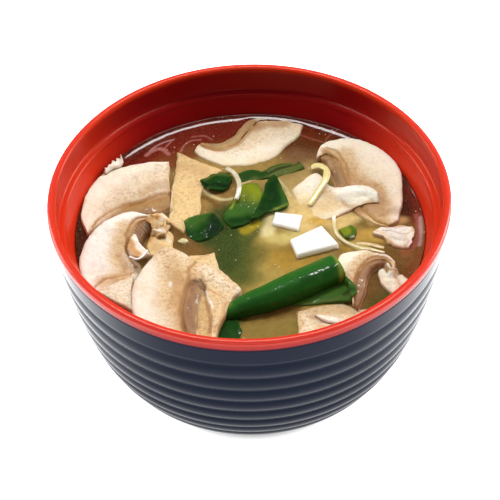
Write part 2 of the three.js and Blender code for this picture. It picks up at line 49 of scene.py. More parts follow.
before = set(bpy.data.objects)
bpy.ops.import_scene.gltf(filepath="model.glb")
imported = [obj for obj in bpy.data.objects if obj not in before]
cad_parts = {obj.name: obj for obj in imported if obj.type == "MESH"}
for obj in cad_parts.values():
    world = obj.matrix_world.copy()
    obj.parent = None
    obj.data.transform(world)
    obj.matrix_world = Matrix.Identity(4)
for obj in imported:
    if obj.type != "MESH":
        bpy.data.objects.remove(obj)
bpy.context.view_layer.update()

MM = 0.001
BODY = "root"
BOWL_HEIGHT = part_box("bowl")[1][2] / MM
RIM_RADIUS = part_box("bowl")[1][0] / MM
SOUP_LEVEL = 54.0
# Share of its screen colour that a surface is given; the lamps bring it up to the whole.
LAMP_SHARE = 0.82

# The camera, which is aimed at a point from a distance to the middle of the rim (in metres).
CAMERA_DISTANCE = 0.7
CAMERA_ELEVATION = math.radians(43.75)
CAMERA_ROLL = math.radians(-1.78)
CAMERA_LENS = 170.1
CAMERA_AIM = (-0.00018, -0.02312, 0.070)
SENSOR_WIDTH = 36
VIEW_SIZE = 500


# ---- Settings -------------------------------------------------------------------------------


class BowlSettings(PropertyGroup):
    """Shape and colours of the bowl."""

    lip_width: FloatProperty(
        name="Lip width", description="Width of the rim's bead, in millimetres", default=2.6,
        min=1.0
    )
    rib_relief: FloatProperty(
        name="Rib relief", description="Depth of the grooves, in millimetres", default=0.6, min=0.0
    )
    inside: FloatVectorProperty(
        name="Inside", description="Red lacquer", subtype="COLOR", default=(0.56, 0.026, 0.007)
    )
    # Painted shade: a darker red inside towards both ends in Y and on the outer side of the lip.
    inside_shade: FloatVectorProperty(
        name="Deep inside", description="Thicker lacquer at the ends of the bowl's wall",
        subtype="COLOR", default=(0.27, 0.004, 0.006)
    )
    # Painted highlight: a paler red on top of the rim.
    lip: FloatVectorProperty(
        name="Lip", description="Rubbed lacquer of the rim", subtype="COLOR",
        default=(0.62, 0.04, 0.026)
    )
    outside: FloatVectorProperty(
        name="Outside", description="Navy lacquer", subtype="COLOR", default=(0.004, 0.007, 0.02)
    )


def srgb(red, green, blue):
    """Linear colour of a screen colour given as 0..255."""
    c = np.array([red, green, blue]) / 255
    return np.where(c <= 0.04045, c / 12.92, ((c + 0.055) / 1.055) ** 2.4)


def tone(name, description, *screen):
    """A colour property whose default is the screen colour that it has under the lamps."""
    colour = tuple(float(part) * LAMP_SHARE for part in srgb(*screen))
    return FloatVectorProperty(name=name, description=description, subtype="COLOR", default=colour)


class FoodSettings(PropertyGroup):
    """Colours of what is in the soup."""

    # Pale is also a small painted highlight on one slice.
    pale: tone("Pale", "Outer mushroom flesh", 250, 241, 220)
    # White is also painted highlights on two leaves.
    white: tone("White", "Palest flesh and torn edges", 253, 250, 238)
    flesh: tone("Flesh", "Warmer mushroom flesh", 224, 189, 136)
    butter: tone("Butter", "Yellowish soaked flesh", 234, 202, 142)
    # Brown lines, and also painted shadow under a lobe and a log and painted shade in creases.
    stain: tone("Stain", "Brown lines in the flesh", 176, 124, 62)
    soaked: tone("Soaked", "Flat soaked gills", 164, 126, 72)
    gill: tone("Gills", "Mushroom gills", 154, 112, 78)
    shade: tone("Shade", "Dark clefts in the flesh", 76, 46, 22)
    amber: tone("Amber", "Orange spots", 204, 136, 44)
    green: tone("Green", "Leaf green", 18, 60, 12)
    grass: tone("Grass green", "Green onion skin", 36, 92, 28)
    # Mid green is also a painted highlight along the green onion.
    mid: tone("Mid green", "Lighter leaf", 62, 98, 34)
    lime: tone("Lime", "Yellow-green leaf", 126, 136, 30)
    bright: tone("Bright green", "Cut edges of leaves", 136, 150, 54)
    olive: tone("Olive", "Dull leaf edges", 90, 98, 44)
    # Deep green is also painted shade in a leaf's cleft.
    deep: tone("Deep green", "Darkest leaf", 6, 32, 10)
    onion: tone("Onion", "Pale onion", 214, 198, 140)
    tofu: tone("Tofu", "Tofu", 250, 247, 240)


class StageSettings(PropertyGroup):
    """Camera and lights."""

    distance: FloatProperty(
        name="Distance", description="Camera to rim centre", default=CAMERA_DISTANCE, unit="LENGTH"
    )
    elevation: FloatProperty(
        name="Elevation", description="Camera's height above the horizon",
        default=CAMERA_ELEVATION, subtype="ANGLE"
    )
    roll: FloatProperty(
        name="Roll", description="Camera's roll", default=CAMERA_ROLL, subtype="ANGLE"
    )
    lens: FloatProperty(
        name="Lens", description="Focal length", default=CAMERA_LENS, unit="CAMERA"
    )
    aim: FloatVectorProperty(
        name="Aim", description="Point the camera looks at", default=CAMERA_AIM,
        subtype="TRANSLATION", unit="LENGTH"
    )
    floor: FloatVectorProperty(
        name="Floor", description="Floor colour", subtype="COLOR", default=(0.5, 0.5, 0.5)
    )
    daylight: FloatProperty(
        name="Daylight", description="Strength of the white light from all round", default=0.11
    )


# ---- Arrays and curves ----------------------------------------------------------------------


def spline(points, where):
    """Catmull-Rom curve through points with doubled ends, at parameters 0..1 spread evenly
    over the spans: each span blends its four nearest points by the usual cubic weights."""
    points = np.asarray(points, float)
    last = len(points) - 1
    place = np.clip(np.asarray(where, float), 0, 1) * last
    first = np.minimum(place.astype(int), last - 1)
    t = (place - first)[..., None]
    p0, p1 = points[np.maximum(first - 1, 0)], points[first]
    p2, p3 = points[first + 1], points[np.minimum(first + 2, last)]
    v0, v1 = (p2 - p0) / 2, (p3 - p1) / 2
    cubic = (2 * p1 - 2 * p2 + v0 + v1) * t**3 + (-3 * p1 + 3 * p2 - 2 * v0 - v1) * t**2
    return cubic + v0 * t + p1


def smooth(value, low, high):
    """0 below low, 1 above high and 3t^2 - 2t^3 between them."""
    t = np.clip((value - low) / (high - low), 0, 1)
    return t * t * (3 - 2 * t)


def eased(count, ends):
    """Values from 0 to 1 that lie closer together towards both ends, for ends near 1."""
    t = np.linspace(0, 1, count)
    return t * (1 - ends) + ends * t * t * (3 - 2 * t)


def lattice_noise(points, cell, seed):
    """Smooth random values in -1..1: a random number at each corner of a cubic lattice of that
    cell size, blended along each axis by 3t^2 - 2t^3."""
    scaled = np.asarray(points, float) / cell
    base = np.floor(scaled).astype(np.int64)
    t = scaled - base
    t = t * t * (3 - 2 * t)
    total = np.zeros(scaled.shape[:-1])
    for corner in np.ndindex(2, 2, 2):
        x, y, z = np.moveaxis(base + corner, -1, 0)
        mixed = (x * 73856093) ^ (y * 19349663) ^ (z * 83492791) ^ (seed * 26544357)
        mixed = ((mixed ^ (mixed >> 13)) * 1274126177) & 0xFFFFFFFF
        value = ((mixed ^ (mixed >> 15)) & 0xFFFF) / 32767.5 - 1
        total += value * np.where(corner, t, 1 - t).prod(-1)
    return total


def cloud(points, cell, seed, layers=3):
    """Lattice noise in layers, each of half the size and half the height of the last."""
    return sum(
        lattice_noise(points, cell / 2**i, seed + 11 * i) / 2**i for i in range(layers)
    )


def flat(x, y):
    """Points, or directions, in the plane z = 0."""
    return np.stack([x, y, np.zeros_like(x)], -1)


def nearness(x, y, width, path):
    """1 within a soft-edged band of that half width along a splined path in plan, 0 beyond it:
    the band falls off smoothly from 0.3 to 1.5 of the width."""
    knots = spline(path, np.linspace(0, 1, 25))
    step = np.diff(knots, axis=0)
    from_x, from_y = x[..., None] - knots[:-1, 0], y[..., None] - knots[:-1, 1]
    share = (from_x * step[:, 0] + from_y * step[:, 1]) / (step**2).sum(1)
    share = np.clip(share, 0, 1)
    distance = np.hypot(from_x - share * step[:, 0], from_y - share * step[:, 1]).min(-1)
    return 1 - smooth(distance, 0.3 * width, 1.5 * width)


def camera_axes(distance, elevation, roll, aim):
    """Place of the camera, in metres, and its directions right, up and ahead."""
    place = np.array([0, -math.cos(elevation), math.sin(elevation)]) * distance
    place[2] += BOWL_HEIGHT * MM
    ahead = np.array(aim) - place
    ahead /= np.linalg.norm(ahead)
    level = np.cross(ahead, (0, 0, 1))
    level /= np.linalg.norm(level)
    right = math.cos(roll) * level + math.sin(roll) * np.cross(level, ahead)
    return place, right, np.cross(right, ahead), ahead


def in_plan(path, height):
    """Where points of the camera's view lie in plan at a height above the floor: a line from the
    camera through each point is followed down to that height. The points are counted right and
    down from the view's top left corner, which is VIEW_SIZE wide and high."""
    camera = (CAMERA_DISTANCE, CAMERA_ELEVATION, CAMERA_ROLL, CAMERA_AIM)
    place, right, up, ahead = camera_axes(*camera)
    across, down = (np.array(path, float) - VIEW_SIZE / 2).T[..., None] * SENSOR_WIDTH / VIEW_SIZE
    line = CAMERA_LENS * ahead + across * right - down * up
    return ((place + line * ((height * MM - place[2]) / line[:, 2:])) / MM)[:, :2]


# ---- Meshes ---------------------------------------------------------------------------------


def grid_cells(index, wrap=False):
    """Quads between neighbouring entries of a 2-D array of vertex numbers; with wrap, the last
    column joins the first."""
    if wrap:
        index = np.concatenate([index, index[:, :1]], 1)
    corners = [index[:-1, :-1], index[1:, :-1], index[1:, 1:], index[:-1, 1:]]
    return np.stack(corners, -1).reshape(-1, 4)


def fan(ring, tip):
    """Triangles from a closed ring of vertex numbers to a tip."""
    return np.stack([ring, np.roll(ring, -1), np.full_like(ring, tip)], -1)


def border(index):
    """The entries round the edge of a 2-D array of vertex numbers, once each."""
    return np.concatenate([index[0, :-1], index[:-1, -1], index[-1, :0:-1], index[:0:-1, 0]])


def outwards(points, faces):
    """The faces, all turned round where the volume they enclose comes out negative."""
    volume = 0.0
    for group in faces:
        a = points[group[:, 0]]
        for i in range(1, group.shape[1] - 1):
            b, c = points[group[:, i]], points[group[:, i + 1]]
            volume += np.einsum("ij,ij->i", a, np.cross(b, c)).sum()
    return faces if volume > 0 else [group[:, ::-1] for group in faces]


def mesh_piece(name, nodes, points, faces, materials, material_of=None, values=None):
    """Makes one closed piece from vertices in millimetres and groups of faces, and sets it to
    stand for the named nodes. values holds named numbers or colours for each vertex."""
    faces = outwards(points, [np.asarray(group) for group in faces])
    corners = np.concatenate([group.ravel() for group in faces])
    sizes = np.concatenate([np.full(len(group), group.shape[1]) for group in faces])
    mesh = bpy.data.meshes.new(name)
    mesh.vertices.add(len(points))
    mesh.vertices.foreach_set("co", (points * MM).astype(np.float32).ravel())
    mesh.loops.add(len(corners))
    mesh.loops.foreach_set("vertex_index", corners.astype(np.int32))
    mesh.polygons.add(len(sizes))
    mesh.polygons.foreach_set("loop_start", (np.cumsum(sizes) - sizes).astype(np.int32))
    mesh.polygons.foreach_set("use_smooth", np.ones(len(sizes), bool))
    for material in materials:
        mesh.materials.append(material)
    if material_of is not None:
        mesh.polygons.foreach_set("material_index", np.asarray(material_of, np.int32))
    for key, value in (values or {}).items():
        value = np.asarray(value, np.float32)
        if value.ndim == 1:
            mesh.attributes.new(key, "FLOAT", "POINT").data.foreach_set("value", value)
        else:
            opaque = np.concatenate([value, np.ones((len(value), 1), np.float32)], 1)
            layer = mesh.attributes.new(key, "FLOAT_COLOR", "POINT")
            layer.data.foreach_set("color", opaque.ravel())
    mesh.update(calc_edges=True)
    if mesh.validate():
        raise RuntimeError(f"{name} has faces that had to be mended")
    piece = bpy.data.objects.new(name, mesh)
    bpy.context.scene.collection.objects.link(piece)
    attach(piece, BODY)
    if nodes:
        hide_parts(*nodes)
    return piece


# ---- Shaders --------------------------------------------------------------------------------


class Value:
    """A shader socket that holds a number; arithmetic on it adds Math nodes."""

    def __init__(self, material, socket):
        self.material = material
        self.socket = socket

    def math(self, operation, *values):
        sockets = dict(enumerate(values))
        node = self.material.node("ShaderNodeMath", {"operation": operation}, sockets)
        return Value(self.material, node.outputs[0])

    def __add__(self, other):
        return self.math("ADD", self, other)

    def __sub__(self, other):
        return self.math("SUBTRACT", self, other)

    def __rsub__(self, other):
        return self.math("SUBTRACT", other, self)

    def __mul__(self, other):
        return self.math("MULTIPLY", self, other)

    __radd__ = __add__
    __rmul__ = __mul__

    def between(self, low, high):
        """0 at low, 1 at high, eased and kept within 0..1."""
        node = self.material.node(
            "ShaderNodeMapRange",
            {"interpolation_type": "SMOOTHSTEP"},
            {"Value": self, "From Min": low, "From Max": high},
        )
        return Value(self.material, node.outputs["Result"])


class Finish:
    """A material whose nodes are added one after another."""

    def __init__(self, name, **constants):
        self.made = bpy.data.materials.new(name)
        self.made.use_nodes = True
        self.tree = self.made.node_tree
        self.shader = self.tree.nodes["Principled BSDF"]
        self.place = self.node("ShaderNodeTexCoord").outputs["Object"]
        self.surface(**constants)

    def feed(self, socket, value):
        """Links a socket to another one, or sets it to a constant."""
        if isinstance(value, Value):
            value = value.socket
        if isinstance(value, bpy.types.NodeSocket):
            self.tree.links.new(value, socket)
        elif hasattr(value, "__len__") and len(value) == 3 and socket.type == "RGBA":
            socket.default_value = (*value, 1)
        else:
            socket.default_value = value

    def node(self, kind, settings=None, sockets=None):
        """A node of that type: its settings are set first, then its sockets are fed."""
        node = self.tree.nodes.new(kind)
        for key, value in (settings or {}).items():
            setattr(node, key, value)
        for key, value in (sockets or {}).items():
            self.feed(node.inputs[key], value)
        return node

    def surface(self, **inputs):
        """Feeds the surface shader's sockets, named with an underscore for each space."""
        for key, value in inputs.items():
            self.feed(self.shader.inputs[key.replace("_", " ")], value)

    def attribute(self, name):
        node = self.node("ShaderNodeAttribute", {"attribute_name": name})
        return Value(self, node.outputs["Fac"])

    def colour_attribute(self, name):
        return self.node("ShaderNodeAttribute", {"attribute_name": name}).outputs["Color"]

    def above_soup(self, low, high):
        """0 up to low millimetres above the soup's level and 1 from high millimetres above it."""
        height = self.node("ShaderNodeSeparateXYZ", {}, {0: self.place}).outputs[2]
        return Value(self, height).between((SOUP_LEVEL + low) * MM, (SOUP_LEVEL + high) * MM)

    def noise(self, size, detail=3.0, rough=0.55, bend=0.0):
        """Noise in 0..1 whose largest lumps are about size millimetres across."""
        sockets = {"Vector": self.place, "Scale": 1 / (size * MM), "Detail": detail,
                   "Roughness": rough, "Distortion": bend}
        return Value(self, self.node("ShaderNodeTexNoise", {}, sockets).outputs["Fac"])

    def cells(self, size):
        """Distance to the nearest of scattered points, in cells of about size millimetres."""
        sockets = {"Vector": self.place, "Scale": 1 / (size * MM)}
        return Value(self, self.node("ShaderNodeTexVoronoi", {}, sockets).outputs["Distance"])

    def mix(self, factor, low, high):
        """The colour low where factor is 0 and high where it is 1."""
        sockets = {0: factor, 6: low, 7: high}
        return self.node("ShaderNodeMix", {"data_type": "RGBA"}, sockets).outputs[2]

    def bump(self, height, depth, strength=1.0):
        """Feeds Normal from a height of 0..1 that stands for depth millimetres."""
        sockets = {"Height": height, "Distance": depth * MM, "Strength": strength}
        self.surface(Normal=self.node("ShaderNodeBump", {}, sockets).outputs[0])


# ---- The bowl -------------------------------------------------------------------------------

# Outlines of the outer wall, of the hollow, of the ledge inside the rim and of the foot ring,
# as radius and height.
WALL = [(59.7, 67), (58.8, 60.3), (57.2, 50.6), (55.3, 40.9), (52.7, 31.1), (49.2, 21.4),
        (43.4, 11.7), (34.5, 3.6)]
HOLLOW = [(54.9, 60), (52.6, 54.5), (51.3, 46), (49.4, 37), (46, 28), (40, 18.5), (31, 11.5),
          (20, 9), (0, 8.5)]
LEDGE = [(54.9, 60), (55.2, 60.9), (56.1, 61.45), (56.8, 61.75), (57.2, 62.5), (57.4, 65),
         (57.4, 67.9)]
FOOT = [(32.2, 2.5), (31, 0.6), (30.5, 0), (27.5, 0), (27, 0.6), (26, 2.5), (0, 2.5)]
FOOT_TOP = 3.6
# The rim's rounding is LIP_RISE high, and its side reaches LIP_DROP below the top.
LIP_RISE = 1.2
LIP_DROP = 3.0
# The ribs: depth of the uppermost groove below the rim, height of the first rib, and how much
# less high each rib is than the one above it.
FIRST_GROOVE = 11.3
FIRST_RIB = 6.7
RIB_SHRINK = 0.22
RIB_COUNT = 8
BOWL_SIDES = 288


def radius_at(outline, height):
    """Radius of a splined outline at heights, read from a fine sampling of it."""
    fine = spline(outline, np.linspace(0, 1, 600))
    order = np.argsort(fine[:, 1])
    return np.interp(height, fine[order, 1], fine[order, 0])


def outer_wall(relief):
    """Profile of the ribbed wall: the wall's radius plus a rounded swell between each pair of
    grooves, relief * (sin(pi t)^0.8 - 0.6) at a share t of the way down a rib."""
    grooves = [BOWL_HEIGHT - FIRST_GROOVE]
    for i in range(RIB_COUNT):
        grooves.append(grooves[-1] - FIRST_RIB + RIB_SHRINK * i)
    t = np.linspace(0, 1, 15)[:-1]
    heights = np.concatenate([a + (b - a) * t for a, b in zip(grooves, grooves[1:])])
    swell = np.tile(relief * (np.sin(np.pi * t) ** 0.8 - 0.6), RIB_COUNT)
    band_heights = np.linspace(BOWL_HEIGHT - LIP_DROP - 0.6, grooves[0] + 1.2, 14)
    band = np.stack([radius_at(WALL, band_heights), band_heights], 1)
    foot_heights = np.linspace(grooves[-1], FOOT_TOP, 10)
    foot = np.stack([radius_at(WALL, foot_heights), foot_heights], 1)
    return np.concatenate([band, np.stack([radius_at(WALL, heights) + swell, heights], 1), foot])


def bowl_profile(settings):
    """The closed outline of the bowl from the middle of its hollow, over the lip, to the middle
    of its underside, and how many of its points come before the change from red to navy."""
    half = settings.lip_width / 2
    hollow = spline(HOLLOW, np.linspace(1, 0, 90))[:-1]
    ledge = spline(LEDGE, np.linspace(0, 1, 40))
    turn = np.radians(np.linspace(180, 0, 24))
    rounding = np.stack([RIM_RADIUS - half + half * np.cos(turn),
                         BOWL_HEIGHT - LIP_RISE + LIP_RISE * np.sin(turn) ** 0.8], 1)
    below = BOWL_HEIGHT - LIP_DROP
    lip_side = [(RIM_RADIUS, below + 0.5), (RIM_RADIUS - 0.15, below + 0.12),
                (RIM_RADIUS - 0.42, below - 0.02)]
    red = np.concatenate([hollow, ledge, rounding, lip_side])
    under_lip = [(RIM_RADIUS - 0.62, below - 0.15)]
    return np.concatenate([red, under_lip, outer_wall(settings.rib_relief), FOOT]), len(red)


def lathe(profile, sides):
    """Vertices, faces and rings of vertex numbers of a profile turned about Z; its first and last
    points are on the axis, and each becomes one vertex."""
    turn = np.linspace(0, 2 * np.pi, sides, endpoint=False)
    radius, height = profile[1:-1, :1], profile[1:-1, 1:]
    ones = np.ones(sides)
    rings = np.stack([radius * np.cos(turn), radius * np.sin(turn), height * ones], -1)
    ends = [[0, 0, profile[0, 1]], [0, 0, profile[-1, 1]]]
    points = np.concatenate([rings.reshape(-1, 3), ends])
    index = np.arange(rings.shape[0] * sides).reshape(-1, sides)
    ends = [fan(index[0], index.size), fan(index[-1], index.size + 1)[:, ::-1]]
    return points, [grid_cells(index, wrap=True), *ends], index


def lacquer(name, rough, shine, tint):
    """Glossy moulded lacquer in its painted tones with faint unevenness in the gloss."""
    finish = Finish(name, Specular_IOR_Level=shine, Specular_Tint=tint, Coat_Roughness=0.1)
    patches = finish.noise(14, detail=4)
    # The rim's coat gloss; where it lies, the tone is also a painted highlight.
    finish.surface(Base_Color=finish.colour_attribute("tone"),
                   Coat_Weight=finish.attribute("rubbed") * 0.35,
                   Roughness=rough + patches.between(0.35, 0.75) * 0.04)
    finish.bump(finish.noise(3.5, detail=2), 0.01, 0.4)
    return finish.made


def bowl_tones(points, red_count, settings):
    """Colour at each vertex: red inside, with painted shade that makes it deeper towards the two
    ends in Y and on the lip's side, and a painted highlight that makes it paler on top of the rim,
    and navy outside; and the share of coat gloss and painted highlight, which the rim alone has. The
    first red_count vertices are red, and so is the last but one, in the hollow's middle."""
    x, y, z = points.T
    radius = np.hypot(x, y)
    # Painted shade: the red deepens towards both ends in Y, below the top of the rim.
    depth = smooth(np.abs(y) - 0.6 * np.abs(x), -10, 30)
    # Painted highlight: the top of the rim is paler, and the same share gives it the coat's gloss.
    top = smooth(z, BOWL_HEIGHT - 2.2, BOWL_HEIGHT - 0.6)
    rubbed = top * smooth(radius, RIM_RADIUS - settings.lip_width, RIM_RADIUS - 0.4)
    # Painted shade on the outer side of the lip.
    under_lip = smooth(radius, RIM_RADIUS - 1.2, RIM_RADIUS - 0.8)
    under_lip = under_lip * (1 - smooth(z, BOWL_HEIGHT - 1.7, BOWL_HEIGHT - 0.5))
    colour = np.tile(settings.inside, (len(points), 1))
    for target, amount in ((settings.inside_shade, depth * (1 - top)), (settings.lip, rubbed),
                           (settings.inside_shade, under_lip)):
        colour += (np.array(target) - colour) * amount[:, None]
    number = np.arange(len(points))
    outer = (number >= red_count) & (number != len(points) - 2)
    colour[outer] = settings.outside
    rubbed[outer] = 0
    return colour, rubbed


class SOUP_OT_bowl(Operator):
    """Make the ribbed bowl, red inside and navy outside."""

    bl_idname = "soup.bowl"
    bl_label = "Bowl"

    def execute(self, context):
        settings = context.scene.soup_bowl
        profile, red_count = bowl_profile(settings)
        points, faces, index = lathe(profile, BOWL_SIDES)
        red = lacquer("red_lacquer", 0.22, 0.17, (1, 0.5, 0.3))
        navy = lacquer("navy_lacquer", 0.18, 0.07, (0.8, 0.9, 1))
        navy_cells = np.repeat(np.arange(len(index) - 1) >= red_count - 2, BOWL_SIDES)
        material_of = np.concatenate([navy_cells, np.zeros(BOWL_SIDES), np.ones(BOWL_SIDES)])
        tones, rubbed = bowl_tones(points, red_count * BOWL_SIDES, settings)
        mesh_piece("bowl_shell", ["bowl"], points, faces, [red, navy], material_of,
                   {"tone": tones, "rubbed": rubbed})
        return {"FINISHED"}


# ---- Loose pieces ---------------------------------------------------------------------------

# Cross sections, as places across the rails (0 is at the first rail, 1 at the second) and heights.
CAP = [(0, -0.3), (0.1, 0), (0.55, 0.3), (0.93, 0.1), (1.03, -0.6), (1.25, -0.2), (1.6, -0.1),
       (1.85, -0.5), (2, -1.2)]
WHOLE = [(0, -0.3), (0.1, 0), (0.55, 0.3), (0.93, 0), (1.03, -0.6), (1.25, 0.1), (1.5, 0.4),
         (1.8, 0), (2, -1), (2.95, -1), (3.1, 0), (3.85, 0), (4, -0.4)]
SLAB = [(0, -0.1), (0.1, 0), (0.9, 0), (1, -0.1)]
LEAF = [(0, -0.2), (0.3, 0.1), (0.7, 0.1), (1, -0.2)]
LUMP = [(0, -1), (0.25, 0.2), (0.5, -0.4), (0.75, 0.3), (1, -1)]

